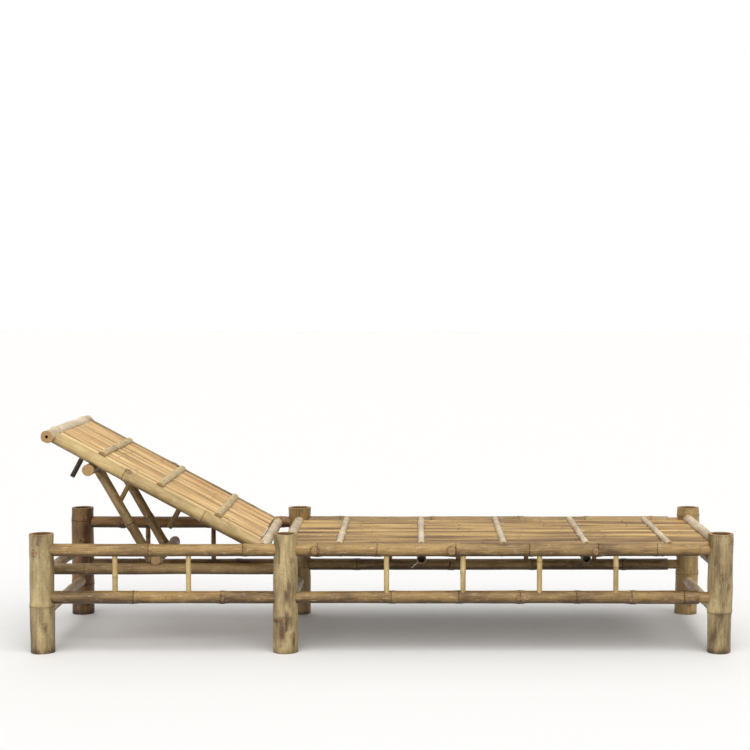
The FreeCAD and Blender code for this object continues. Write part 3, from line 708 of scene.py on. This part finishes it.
# The far legs get deeper finishes and tones towards the head end: partly their own colours, partly painted
# shade, as if the light came from the foot end
LEG_LOOKS = {
    "head_near": "straw_bamboo_rind", "mid_near": "straw_bamboo_rind", "foot_near": "straw_bamboo_rind",
    "head_far": "brown_bamboo_rind", "mid_far": "tan_bamboo_rind", "foot_far": "tan_bamboo_rind",
}
LEG_TONES = {
    "head_near": 0.5, "mid_near": -0.2, "foot_near": 1.4, "head_far": 0.6, "mid_far": -1.4, "foot_far": -2.4,
}
RAIL_RINGS = {
    "top_rail_seat_near": (-180, -10, 213, 423, 618, 786),
    "low_rail_seat_near": (30, 222, 398, 558, 715, 863),
    "top_rail_head_near": (-659, -391),
    "low_rail_head_near": (-703, -454),
    "top_rail_seat_far": (-140, 150, 430, 640, 850),
    "low_rail_seat_far": (-90, 210, 470, 760),
    "top_rail_head_far": (-840, -560, -330),
    "low_rail_head_far": (-780, -470),
}
RAIL_TONES = {
    # The far seat rail's tones grow much lighter towards the foot end: painted light where the seat's shadow
    # falls on it
    "top_rail_seat_far": (1.2, 0.6, -0.2, -1.4, -4.0, -5.0),
    "top_rail_seat_near": (-0.6, 0.2, -0.8, 0.3, -0.2, 0.5, -0.3),
}
RAIL_KNOTS = {
    "top_rail_seat_near": ((-187, 0, 11), (202, 0, 12), (612, 5, 9.5)),
    "low_rail_seat_near": ((395, 0, 7), (712, 10, 7)),
    "top_rail_head_near": ((-654, 14, 6), (-386, -20, 4)),
    "low_rail_head_near": ((-451, 5, 7),),
    "top_rail_seat_far": ((436, 0, 7),),
    "low_rail_seat_far": ((215, 0, 6),),
    "top_rail_head_far": ((-836, -10, 7),),
    "low_rail_head_far": ((-466, 0, 6),),
}
NECK_START = 906 * MM       # the seat bay's rails are cut down from here to the foot legs
NECK_DEPTH = 3.4 * MM


class LOUNGER_OT_legs(bpy.types.Operator):
    """Six leg culms, sawn off square and open at the top"""
    bl_idname = "lounger.legs"
    bl_label = "Legs"

    def execute(self, context):
        rail_heights = [middle(f"{level}_rail_seat_near").z for level in ("top", "low")]
        for side in SIDES:
            for name in ("head", "mid", "foot"):
                key = f"{name}_{side}"
                turns = {"head": ((90, 1.5),), "mid": ((90, 3.4), (-90, 1.2)), "foot": ((-90, 1.5),)}[name]
                waists = [(z, depth, turn) for z in rail_heights for turn, depth in turns]
                shape = {
                    "rings": [s * MM for s in LEG_RINGS[key]],
                    "knots": [(s * MM, turn, r) for s, turn, r in LEG_KNOTS[key]],
                    "streaks": [(low * MM, high * MM, *rest) for low, high, *rest in LEG_STREAKS[key]],
                    "ring_dark": 0.32,
                    "soil": 0.7,
                    "waists": waists,
                    "bore": 26 * MM,
                    "bore_depth": 24 * MM,
                    "swell": 0.75,
                    "wobble": 2.4,
                    "sides": context.scene.lounger_culms.leg_sides,
                    "pitch": 7 * MM,
                    "tone": LEG_TONES[key],
                    "bow_turn": math.radians(90),
                    "lean": 5 * MM if name == "foot" else 0.0,
                }
                dress_pole(f"{name}_leg_{side}", "frame", LEG_LOOKS[key], "z", changes=shape)
        return {"FINISHED"}


class LOUNGER_OT_side_rails(bpy.types.Operator):
    """Upper and lower side rails of both bays, with branch scars and necks at the foot legs"""
    bl_idname = "lounger.side_rails"
    bl_label = "Side rails"

    def execute(self, context):
        for node, rings in RAIL_RINGS.items():
            start_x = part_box(node)[0].x
            radius = (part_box(node)[1].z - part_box(node)[0].z) / 2
            shape = {
                "rings": [x * MM - start_x for x in rings],
                "knots": [(x * MM - start_x, turn, r) for x, turn, r in RAIL_KNOTS[node]],
                "bore": 12 * MM,
                "pitch": 10 * MM,
                "bow": 1.0,
                "bow_turn": dice(node).uniform(-0.5, 0.5),
                "sides": context.scene.lounger_culms.rail_sides,
                "tones": RAIL_TONES.get(node, ()),
                "swell": 1.25,
                "tone": 0.5 if node.startswith("low") else 0.0,
            }
            if "seat" in node:
                end_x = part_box(node)[1].x - start_x
                shape["necks"] = [(NECK_START - start_x, end_x - 5 * MM, radius - NECK_DEPTH)]
            if node == "low_rail_seat_near":
                shape.update(bow=2.4, bow_turn=math.radians(180), taper=0.13)
            # Far rails take the brown rind, partly as painted shade of the far side
            look = "honey_bamboo_rind" if node.endswith("near") else "brown_bamboo_rind"
            # The far seat rails take the lighter tan instead: painted light where the seat shades them
            if node.endswith("seat_far"):
                look = "tan_bamboo_rind"
            dress_pole(node, "frame", look, "x", changes=shape)
        return {"FINISHED"}


class LOUNGER_OT_spindles(bpy.types.Operator):
    """Thin canes between the upper and lower side rails"""
    bl_idname = "lounger.spindles"
    bl_label = "Spindles"

    def execute(self, context):
        for side in SIDES:
            # Far spindles take the brown rind, partly as painted shade of the far side
            look = "yellow_bamboo_rind" if side == "near" else "brown_bamboo_rind"
            dress_pole(f"spindles_{side}", "frame", look, "z", pitch=130 * MM,
                       changes={"swell": 1.6, "wobble": 1.8, "sides": 24, "pitch": 6 * MM, "tone": -0.8})
        return {"FINISHED"}


class LOUNGER_OT_cross_poles(bpy.types.Operator):
    """Cross poles from leg to leg, the inner rails and the poles under the seat"""
    bl_idname = "lounger.cross_poles"
    bl_label = "Cross poles"

    def execute(self, context):
        hollow = {"bore": 9 * MM}
        for node in ("mid_seat_cross", "foot_seat_cross"):
            dress_pole(node, "frame", "pale_bamboo_rind", "y", pitch=180 * MM,
                       changes={**hollow, "wobble": 1.6, "tone": 0.9, "ring_dark": 1.0})
        for node in ("head_low_cross", "mid_low_cross", "foot_low_cross"):
            dress_pole(node, "frame", "pale_bamboo_rind", "y", changes={**hollow, "tone": 0.8})
        for node in ("head_inner_cross", "mid_inner_cross", "mid_under_cross", "foot_under_cross"):
            dress_pole(node, "frame", "tan_bamboo_rind", "y", changes=hollow)
        for side in SIDES:
            # The far inner rail takes the brown rind, partly as painted shade of the far side
            look = "tan_bamboo_rind" if side == "near" else "brown_bamboo_rind"
            dress_pole(f"inner_rail_{side}", "frame", look, "x",
                       changes={"bore": 10 * MM, "wobble": 1.5, "bow": 0.8})
        dress_pole("seat_bearers", "frame", "tan_bamboo_rind", "x", changes={"sides": 20})
        dress_pole("under_poles", "frame", "tan_bamboo_rind", "y",
                   changes={"bore": 9.5 * MM, "sides": 32, "fresh": 0.1, "grime": 0.6, "tone": 1.5})
        return {"FINISHED"}


BOARD_PITCH = 12 * MM
BOARD_NODE_STEPS = [step * MM for step in (-9, -5, -2.5, -1, 0, 1, 2.5, 5, 9)]
STRAND_SHARES = (0.0, 0.09, 0.3, 0.7, 0.91, 1.0)     # columns across one strand
BOARD_NODE_PITCH = 300 * MM


def add_board(bm, low, high, name, starts, ends, slat_width, shade_range):
    """A flattened culm between two corners: strands side by side with splits between them.

    Its length runs along X. Starts and ends give, for a place across, where it begins and stops.
    """
    boards = bpy.context.scene.lounger_boards
    rng = dice(name)
    grain, marks, tone = layers(bm)
    length = high.x - low.x
    width = high.y - low.y
    thick = high.z - low.z
    nodes = random_rings(name, length, BOARD_NODE_PITCH)

    splits = [0.0]
    open_share = [0.0]
    rise = []
    shade = []
    slat_of = []
    slats = max(1, round(width / slat_width))
    slat_edges = [width * (k + rng.uniform(-0.2, 0.2)) / slats for k in range(1, slats)] + [width]
    for slat_end in slat_edges:
        lie = rng.uniform(-1, 0.4) * boards.step
        look = rng.uniform(-shade_range, shade_range)
        fine = max(1, round((slat_end - splits[-1]) / boards.strand))
        strand_wide = (slat_end - splits[-1]) / fine
        slat_start = splits[-1]
        for k in range(1, fine + 1):
            uneven = rng.uniform(-0.2, 0.2) if k < fine else 0.0
            splits.append(slat_start + strand_wide * (k + uneven))
            open_share.append(rng.choice((0.1, 0.18, 0.3)) if k < fine else rng.uniform(0.7, 1.0))
            rise.append(lie + rng.uniform(-0.3, 0.3) * MM)
            shade.append(look + rng.uniform(-0.7, 0.7))
            slat_of.append((slat_start, slat_end))
    splits[-1] = width
    strands = len(splits) - 1
    skew = [rng.uniform(-7, 7) * MM for _ in range(strands)]
    offset = Vector([rng.uniform(0, 40) for _ in range(3)])

    places = {0.0, length}
    for node in nodes:
        places.update(node + step for step in BOARD_NODE_STEPS)
    along = filled(sorted(x for x in places if 0 <= x <= length), BOARD_PITCH)

    # Columns round the section: each strand with the split after it, then the underside
    columns = [("side", 0, 0.35)]
    for k in range(strands):
        columns += [("strand", k, share) for share in STRAND_SHARES]
        if k < strands - 1:
            columns.append(("split", k + 1, 0.0))
    columns += [("side", 1, 0.35)] + [("under", 0, share) for share in (1.0, 0.66, 0.33, 0.0)]

    def split_line(k, x):
        """How far across the split runs and how open it is at a distance along."""
        if k in (0, strands):
            return splits[k], 0.0
        wander = 1.6 * MM * noise.noise(Vector((x * 7, k * 3.1, 0)) + offset)
        opened = blend_in(-0.4, 0.2, noise.noise(Vector((x * 4, k * 5.3, 9)) + offset))
        return splits[k] + wander, open_share[k] * (0.35 + 0.65 * opened)

    made = bmesh.ops.create_grid(bm, x_segments=len(along) - 1, y_segments=len(columns), size=0.5)["verts"]
    rows = sorted({round(v.co.x, 6) for v in made})
    lanes = sorted({round(v.co.y, 6) for v in made})
    row_of = {value: k for k, value in enumerate(rows)}
    lane_of = {value: k for k, value in enumerate(lanes)}
    for vert in made:
        x = along[row_of[round(vert.co.x, 6)]]
        kind, k, share = columns[lane_of[round(vert.co.y, 6)] % len(columns)]
        ring = inside = shade_here = 0.0
        if kind == "strand":
            left, left_gape = split_line(k, x)
            right, right_gape = split_line(k + 1, x)
            y_left = left + left_gape * boards.split / 2 + 0.2 * MM
            y_right = right - right_gape * boards.split / 2 - 0.2 * MM
            y = y_left + (y_right - y_left) * share
            ridge = max([hump(x - node - skew[k], 3 * MM) for node in nodes], default=0.0)
            wave = 0.5 * MM * noise.noise(Vector((x * 6, k * 2.7, 5)) + offset)
            slat_share = (y - slat_of[k][0]) / (slat_of[k][1] - slat_of[k][0])
            bend = boards.slat_crown * (2 * slat_share - 1) ** 2 + boards.crown * (2 * share - 1) ** 2
            z = 1.2 * MM + rise[k] - bend + ridge * boards.node_ridge + wave
            ring = 0.6 * max([hump(x - node - skew[k] - 2 * MM, 1.6 * MM) for node in nodes], default=0.0)
            shade_here = shade[k]
            # Painted shade: a strand darkens towards an open split, most at its very edge
            gape = left_gape if share < 0.5 else right_gape
            split_edge_shade = {0.0: 1.0, 0.09: 0.85, 0.3: 0.25}[round(min(share, 1 - share), 2)]
            ring = max(ring, split_edge_shade * gape)
        elif kind == "split":
            y, gape = split_line(k, x)
            z = -boards.crown - boards.slat_crown * blend_in(0.3, 0.6, gape) - gape * boards.split_depth
            # Painted shade down in the split, darker the wider it opens
            ring = 0.35 + 0.65 * gape
            inside = gape
        elif kind == "side":
            y = width * k
            z = -thick * share
        else:
            y = width * share
            z = -thick
            # Painted shade under the board
            inside = 0.7
        first = starts(low.y + y)
        last = ends(low.y + y)
        vert[grain] = Vector((y, z, x)) + offset
        vert[tone] = shade_here
        vert[marks] = (ring, 0.0, inside, 0.0)
        vert.co = Vector((first + (last - first) * x / length, low.y + y, high.z + z))

    # Join the section's first and last columns and fill the two ends
    bmesh.ops.remove_doubles(bm, verts=bm.verts, dist=0.02 * MM)
    rims = [edge for edge in bm.edges if edge.is_boundary]
    bmesh.ops.holes_fill(bm, edges=rims, sides=0)


def add_slivers(bm, places, name, top):
    """Ragged pale fibres that stand up where a board has torn."""
    rng = dice(name + " slivers")
    grain, marks, tone = layers(bm)
    for x, y, count in places:
        for _ in range(count):
            length = rng.uniform(8, 26) * MM
            turn = Matrix.Rotation(rng.uniform(-0.25, 0.25), 4, "Z") @ Matrix.Rotation(math.pi / 2, 4, "Y")
            shift = Vector((x + rng.uniform(-22, 22) * MM, y + rng.uniform(-6, 6) * MM, top))
            sliver = bmesh.ops.create_cone(bm, cap_ends=True, segments=6, radius1=0.8 * MM, radius2=0.15 * MM,
                                           depth=length, matrix=Matrix.Translation(shift) @ turn)["verts"]
            lift = rng.uniform(0.5, 3.0) * MM
            for vert in sliver:
                share = (vert.co - shift).dot(turn.to_3x3() @ UP) / length + 0.5
                vert.co.z += lift * share * share
                vert[marks] = (0.0, 0.0, 0.0, 0.35)
                vert[tone] = -2.0
                vert[grain] = vert.co


def short_of_legs(edge, inward, place):
    """Where a seat board stops, for a place across: at its own end, or just short of a leg."""
    legs = [middle(f"{place}_leg_{side}") for side in SIDES]
    low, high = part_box("mid_leg_near")
    clear = (high.x - low.x) / 2 + 1.5 * MM

    def stop(y):
        stops = [leg.x + inward * math.sqrt(clear ** 2 - (leg.y - y) ** 2)
                 for leg in legs if abs(leg.y - y) < clear]
        return inward * max(inward * s for s in [edge + inward * 0.5 * MM] + stops)
    return stop


class LOUNGER_OT_seat_boards(bpy.types.Operator):
    """Six flattened culms side by side, those at the sides notched round the legs"""
    bl_idname = "lounger.seat_boards"
    bl_label = "Seat boards"

    def execute(self, context):
        tears = {2: ((0.055, -0.16, 7),), 3: ((0.30, -0.05, 9), (-0.16, -0.09, 5)), 4: ((0.64, 0.02, 10),),
                 5: ((-0.02, 0.09, 7), (0.48, 0.08, 6)), 6: ((0.56, 0.2, 6), (0.12, 0.23, 5))}
        for number in range(1, 7):
            node = f"seat_board_{number}"
            low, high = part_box(node)
            slat = context.scene.lounger_boards.slat
            bm = new_mesh()
            add_board(bm, low, high, node, short_of_legs(low.x, 1, "mid"),
                      short_of_legs(high.x, -1, "foot"), slat, 1.6)
            add_slivers(bm, tears.get(number, ()), node, high.z - 0.6 * MM)
            finish(bm, node, "frame", "flattened_bamboo_seat", [node])
        return {"FINISHED"}


BATTEN_WIDER = 1.12     # rind and fibres that stand proud of the plain half-round


class LOUNGER_OT_seat_battens(bpy.types.Operator):
    """Five split culms across the seat boards"""
    bl_idname = "lounger.seat_battens"
    bl_label = "Seat battens"

    def execute(self, context):
        for number in range(1, 6):
            node = f"seat_batten_{number}"
            low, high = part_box(node)
            centre = (low + high) / 2
            bm = new_mesh()
            add_culm(bm, Vector((centre.x, low.y, low.z)), Vector((centre.x, high.y, low.z)),
                     (high.x - low.x) / 2 * BATTEN_WIDER, half=True, seed=node, sides=32,
                     pitch=7 * MM, rings=random_rings(node, high.y - low.y, 120 * MM),
                     swell=1.9, wobble=3.0, tone=-0.2)
            finish(bm, node, "frame", "pale_bamboo_rind", [node])
        return {"FINISHED"}


def add_wire(bm, points, radius, closed=False, sides=8):
    """A wire through a list of points, its section carried from one to the next."""
    count = len(points)
    rings = []
    for k, point in enumerate(points):
        before = points[k - 1] if closed or k else point
        after = points[(k + 1) % count] if closed or k < count - 1 else point
        heading = (after - before).normalized()
        turn = UP.rotation_difference(heading).to_matrix().to_4x4()
        if abs(heading.z) < 0.999:
            across = heading.cross(UP).normalized()
            lifted = across.cross(heading)
            turn = Matrix((lifted, across, heading)).transposed().to_4x4()
        ring = bmesh.ops.create_circle(bm, cap_ends=False, segments=sides, radius=radius,
                                       matrix=Matrix.Translation(point) @ turn)["verts"]
        rings.append(list({edge for vert in ring for edge in vert.link_edges}))
    pairs = list(zip(rings, rings[1:] + rings[:1] if closed else rings[1:]))
    for ring, following in pairs:
        bmesh.ops.bridge_loops(bm, edges=ring + following)
    if not closed:
        for ring in (rings[0], rings[-1]):
            bmesh.ops.holes_fill(bm, edges=ring, sides=0)


WIRE_RADIUS = 0.8 * MM


def half_turn(x, y, z, radius, first=0):
    """Half a turn of wire across X, from a turn in degrees."""
    turns = [math.radians(first + k) for k in range(0, 181, 15)]
    return [Vector((x + radius * math.cos(turn), y, z + radius * math.sin(turn))) for turn in turns]


def twist_points(start, heading, length, radius, phase):
    """One strand of a twisted wire end."""
    points = []
    across = heading.cross(NEAR).normalized()
    other = heading.cross(across)
    steps = 14
    for k in range(steps + 1):
        share = k / steps
        turn = phase + share * math.tau * 2.2
        swing = across * math.cos(turn) + other * math.sin(turn)
        points.append(start + heading * length * share + swing * radius)
    return points


class LOUNGER_OT_wire_ties(bpy.types.Operator):
    """Double wire loops round battens and under-poles, their twisted ends, and the prop's two loops"""
    bl_idname = "lounger.wire_ties"
    bl_label = "Wire ties"

    def execute(self, context):
        bm = new_mesh()
        rng = dice("wire ties")
        for low, high in solids("wire_ties"):
            centre = (low + high) / 2
            radius = (high.x - low.x) / 2 - WIRE_RADIUS
            if high.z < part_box("under_poles")[1].z + 1 * MM:
                feet = [Vector((centre.x + way * radius, centre.y, low.z + WIRE_RADIUS)) for way in (1, -1)]
                arch = half_turn(centre.x, centre.y, high.z - WIRE_RADIUS - radius, radius)
                add_wire(bm, [feet[0], *arch, feet[1]], WIRE_RADIUS)
                continue
            low_z = low.z + WIRE_RADIUS + radius
            high_z = high.z - WIRE_RADIUS - radius
            for shift in (-0.95, 0.95):
                y = centre.y + shift * MM
                upper = half_turn(centre.x, y + 0.2 * MM, high_z, radius)
                lower = half_turn(centre.x, y - 0.2 * MM, low_z, radius, 180)
                add_wire(bm, upper + lower, WIRE_RADIUS, closed=True)
            heading = Vector((rng.choice((-1, 1)) * 0.8, -0.25, 0.55)).normalized()
            foot = Vector((centre.x + heading.x * 11 * MM, centre.y, high.z - 5.5 * MM))
            for phase in (0.0, math.pi):
                strand = twist_points(foot, heading, rng.uniform(7, 11) * MM, 0.8 * MM, phase)
                add_wire(bm, strand, 0.7 * MM, sides=6)
        pole_start, _, pole_radius = pole_line(solids("under_poles")[1], "y")
        loop = pole_radius + WIRE_RADIUS
        hold = pole_start - NEAR * 6.5 * MM
        for shift in (0.0, 2.0):
            turns = [math.radians(k) for k in range(0, 360, 20)]
            points = [hold + Vector((loop * math.cos(k), shift * MM, loop * math.sin(k))) for k in turns]
            add_wire(bm, points, WIRE_RADIUS, closed=True)
        heading = Vector((-0.72, -0.2, -0.66)).normalized()
        foot = hold + Vector((-0.75, -0.1, -0.66)) * loop
        for phase in (0.0, math.pi):
            add_wire(bm, twist_points(foot, heading, 25 * MM, 0.9 * MM, phase), WIRE_RADIUS, sides=6)
        finish(bm, "wire_ties", "frame", "galvanised_tie_wire", ["wire_ties"])
        return {"FINISHED"}


class LOUNGER_OT_hinge(bpy.types.Operator):
    """Hinge pole and the two dowels it turns on"""
    bl_idname = "lounger.hinge"
    bl_label = "Hinge"

    def execute(self, context):
        dress_pole("hinge_pins", "frame", "whittled_bamboo", "y",
                   changes={"rings": (), "sides": 24, "wobble": 0.0, "oval": 0.0, "tone": -1.0})
        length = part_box("hinge_pole")[1].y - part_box("hinge_pole")[0].y
        dress_pole("hinge_pole", "backrest", "pale_bamboo_rind", "y", BACK,
                   changes={"rings": [0.30 * length, 0.78 * length], "wobble": 1.4, "bore": 7.4 * MM,
                            "bore_depth": 48 * MM})
        return {"FINISHED"}


class LOUNGER_OT_backrest_frame(bpy.types.Operator):
    """Head rail, side rails, under-battens and pegs of the backrest"""
    bl_idname = "lounger.backrest_frame"
    bl_label = "Backrest frame"

    def execute(self, context):
        dress_pole("head_rail", "backrest", "pale_bamboo_rind", "y", BACK,
                   changes={"rings": [110 * MM, 300 * MM, 505 * MM], "bore": 4.6 * MM, "bore_depth": 20 * MM,
                            "wobble": 2.4, "swell": 1.5, "bow": 1.2, "bow_turn": math.radians(20),
                            "tone": -0.7, "pitch": 8 * MM})
        for side in SIDES:
            node = f"back_rail_{side}"
            low, high = solids(node, BACK)[0]
            reach = -low.x
            rings = [reach - s * MM for s in ((447, 192) if side == "near" else (380, 90))]
            shape = {"rings": rings, "knots": [(rings[0] + 8 * MM, -58, 8)], "bore": 10 * MM, "wobble": 1.2,
                     "bow": 0.7, "pitch": 9 * MM, "tone": -0.3}
            # The far rail takes the deeper tan, partly as painted shade of the far side
            look = "yellow_bamboo_rind" if side == "near" else "tan_bamboo_rind"
            dress_pole(node, "backrest", look, "x", BACK, changes=shape)
        dress_pole("under_battens", "backrest", "tan_bamboo_rind", "y", BACK,
                   changes={"sides": 28})
        # The pegs' tones and grime differ as painted light and shade: the deep, grimed one stands in shadow
        tones = [{"tone": tone, "rings": (), "sides": 20, "wobble": 2.5, "pitch": 8 * MM, "grime": grime}
                 for tone, grime in ((1.6, 0.45), (-2.0, 0.0), (0.0, 0.1))]
        dress_pole("prop_pegs", "backrest", "whittled_bamboo", "z", BACK, changes=tones)
        return {"FINISHED"}


class LOUNGER_OT_backrest_boards(bpy.types.Operator):
    """Four flattened culms of the backrest"""
    bl_idname = "lounger.backrest_boards"
    bl_label = "Backrest boards"

    def execute(self, context):
        pole = solids("hinge_pole", BACK)[0][0].x
        for number in range(1, 5):
            node = f"back_board_{number}"
            low, high = solids(node, BACK)[0]
            bm = new_mesh()
            slat = context.scene.lounger_boards.slat * 0.75
            add_board(bm, low, high, node, lambda y: low.x + 0.5 * MM, lambda y: pole - 0.3 * MM, slat, 0.8)
            finish(bm, node, "backrest", "flattened_bamboo_back", [node], BACK)
        return {"FINISHED"}


class LOUNGER_OT_backrest_battens(bpy.types.Operator):
    """Three split culms across the backrest, and their nails"""
    bl_idname = "lounger.backrest_battens"
    bl_label = "Backrest battens"

    def execute(self, context):
        nail_places = solids("batten_nails", BACK)
        for number in range(1, 4):
            node = f"back_batten_{number}"
            low, high = solids(node, BACK)[0]
            centre = (low + high) / 2
            nails = [(box[0] + box[1]) / 2 for box in nail_places]
            stains = [(nail.y - low.y, 0, 2.0) for nail in nails if abs(nail.x - centre.x) < 20 * MM]
            bm = new_mesh()
            add_culm(bm, Vector((centre.x, low.y, low.z)), Vector((centre.x, high.y, low.z)),
                     (high.x - low.x) / 2 * BATTEN_WIDER * 1.12, half=True, flat=0.8, seed=node, sides=32,
                     pitch=6 * MM, knots=stains, rings=random_rings(node, high.y - low.y, 150 * MM),
                     swell=1.6, wobble=2.2, tone=-2.2)
            finish(bm, node, "backrest", "yellow_bamboo_rind", [node], BACK)
        bm = new_mesh()
        for low, high in nail_places:
            centre = (low + high) / 2
            shank = Matrix.Translation(centre - UP * 0.4 * MM)
            bmesh.ops.create_cone(bm, cap_ends=True, segments=10, radius1=0.5 * MM, radius2=1.2 * MM,
                                  depth=high.z - low.z - 0.8 * MM, matrix=shank)
            head = bmesh.ops.create_uvsphere(bm, u_segments=14, v_segments=8, radius=2.5 * MM)["verts"]
            for vert in head:
                vert.co.z *= 0.34 if vert.co.z > 0 else 0.12
                vert.co += Vector((centre.x, centre.y, high.z - 0.7 * MM))
        finish(bm, "batten_nails", "backrest", "oxidised_nail_steel", ["batten_nails"], BACK)
        return {"FINISHED"}


class LOUNGER_OT_prop(bpy.types.Operator):
    """Lower bar, two legs and crossbar that hold the backrest up"""
    bl_idname = "lounger.prop"
    bl_label = "Prop"

    def execute(self, context):
        dress_pole("prop_lower_bar", "prop", "tan_bamboo_rind", "y", PROP,
                   changes={"wobble": 1.5, "sides": 36, "fresh": 0.6, "tone": 0.5})
        dress_pole("prop_crossbar", "prop", "tan_bamboo_rind", "y", PROP,
                   changes={"wobble": 1.2, "sides": 40, "tone": -0.6})
        for side in SIDES:
            node = f"prop_leg_{side}"
            length = solids(node, PROP)[0][1].x - solids(node, PROP)[0][0].x
            share = 0.56 if side == "near" else 0.62
            shape = {
                "rings": [share * length, length - 22 * MM],
                "knots": [(16 * MM, 20, 8), (length - 26 * MM, 0, 8)],
                "bore": 7 * MM, "wobble": 1.8, "sides": 36, "pitch": 8 * MM, "swell": 1.5,
                "tone": 0.1 if side == "near" else 0.5,
            }
            dress_pole(node, "prop", "tan_bamboo_rind", "x", PROP, changes=shape)
        return {"FINISHED"}


# Camera of the photograph: lens on a 36 mm wide sensor, and where the lens axis meets the picture
CAMERA_PLACE = Vector((0.10428, -4.9492, 1.01707))
CAMERA_DIP = 0.0484
CAMERA_LENS = 79.06
CAMERA_SHIFT_X = -0.0563
SENSOR = 36.0
SKY_LIGHT = 0.88
KEY_LIGHT = 1.5
FILL_LIGHT = 0.8
FLOOR_HALF = 40.0


class LOUNGER_OT_stage(bpy.types.Operator):
    """Pale floor, soft studio light and the camera"""
    bl_idname = "lounger.stage"
    bl_label = "Stage"

    def execute(self, context):
        scene = context.scene
        bm = bmesh.new()
        bmesh.ops.create_grid(bm, x_segments=1, y_segments=1, size=FLOOR_HALF)
        mesh = bpy.data.meshes.new("floor")
        bm.to_mesh(mesh)
        bm.free()
        material, _, shader = new_finish("studio_floor")
        shader.inputs["Base Color"].default_value = (*scene.lounger_colours.floor, 1.0)
        shader.inputs["Roughness"].default_value = 0.9
        mesh.materials.append(material)
        floor = bpy.data.objects.new("floor", mesh)
        scene.collection.objects.link(floor)

        scene.world = bpy.data.worlds.new("studio")
        scene.world.use_nodes = True
        tree = scene.world.node_tree
        tree.nodes.clear()
        seen = add_node(tree, "ShaderNodeLightPath").outputs["Is Camera Ray"]
        towards = add_node(tree, "ShaderNodeTexCoord").outputs["Generated"]
        sideways = add_node(tree, "ShaderNodeSeparateXYZ", {}, {0: towards}).outputs["X"]
        flagged = add_node(tree, "ShaderNodeMath", {"operation": "MULTIPLY"}, {0: sideways, 1: sideways})
        light = add_node(tree, "ShaderNodeMapRange", {"To Min": SKY_LIGHT, "To Max": 0.0},
                         {"Value": flagged.outputs[0]})
        sky = add_node(tree, "ShaderNodeBackground", {"Color": (1, 1, 1, 1)}, {"Strength": light.outputs[0]})
        backdrop = add_node(tree, "ShaderNodeBackground", {"Color": (1, 1, 1, 1), "Strength": 1.0})
        shown = add_node(tree, "ShaderNodeMixShader", {},
                         {0: seen, 1: sky.outputs[0], 2: backdrop.outputs[0]})
        output = add_node(tree, "ShaderNodeOutputWorld")
        tree.links.new(shown.outputs[0], output.inputs["Surface"])

        lamps = (("key", KEY_LIGHT, 60, (0.35, -1.0, 1.7)), ("fill", FILL_LIGHT, 90, (-0.6, -1.3, 0.15)))
        for name, strength, softness, towards in lamps:
            lamp = bpy.data.lights.new(name, "SUN")
            lamp.energy = strength
            lamp.angle = math.radians(softness)
            holder = bpy.data.objects.new(name, lamp)
            holder.rotation_euler = Vector(towards).to_track_quat("Z", "Y").to_euler()
            scene.collection.objects.link(holder)

        camera = bpy.data.cameras.new("camera")
        camera.lens = CAMERA_LENS
        camera.sensor_width = SENSOR
        camera.shift_x = CAMERA_SHIFT_X
        holder = bpy.data.objects.new("camera", camera)
        holder.location = CAMERA_PLACE
        holder.rotation_euler = (math.pi / 2 - CAMERA_DIP, 0, 0)
        scene.collection.objects.link(holder)
        scene.camera = holder
        scene.view_settings.view_transform = "Standard"
        return {"FINISHED"}


OPERATORS = (
    LOUNGER_OT_legs, LOUNGER_OT_side_rails, LOUNGER_OT_spindles, LOUNGER_OT_cross_poles,
    LOUNGER_OT_seat_boards, LOUNGER_OT_seat_battens, LOUNGER_OT_wire_ties, LOUNGER_OT_hinge,
    LOUNGER_OT_backrest_frame, LOUNGER_OT_backrest_boards, LOUNGER_OT_backrest_battens,
    LOUNGER_OT_prop, LOUNGER_OT_stage,
)


class LOUNGER_PT_panel(bpy.types.Panel):
    """Lists the lounger's pieces in the sidebar"""
    bl_idname = "LOUNGER_PT_panel"
    bl_label = "Bamboo Sun Lounger"
    bl_space_type = "VIEW_3D"
    bl_region_type = "UI"
    bl_category = "Lounger"

    def draw(self, context):
        for group in (getattr(context.scene, name) for name in GROUPS):
            box = self.layout.box()
            for name in group.__annotations__:
                box.prop(group, name)
        for operator in OPERATORS:
            self.layout.operator(operator.bl_idname)


GROUPS = {"lounger_culms": LoungerCulms, "lounger_boards": LoungerBoards, "lounger_colours": LoungerColours}


def register():
    for group in GROUPS.values():
        bpy.utils.register_class(group)
    for operator in (*OPERATORS, LOUNGER_PT_panel):
        bpy.utils.register_class(operator)
    for name, group in GROUPS.items():
        setattr(bpy.types.Scene, name, PointerProperty(type=group))


def unregister():
    for name in GROUPS:
        delattr(bpy.types.Scene, name)
    for made in (*OPERATORS, LOUNGER_PT_panel, *GROUPS.values()):
        bpy.utils.unregister_class(made)


def main():
    register()
    for operator in OPERATORS:
        group, name = operator.bl_idname.split(".")
        getattr(getattr(bpy.ops, group), name)()


if __name__ == "__main__":
    main()
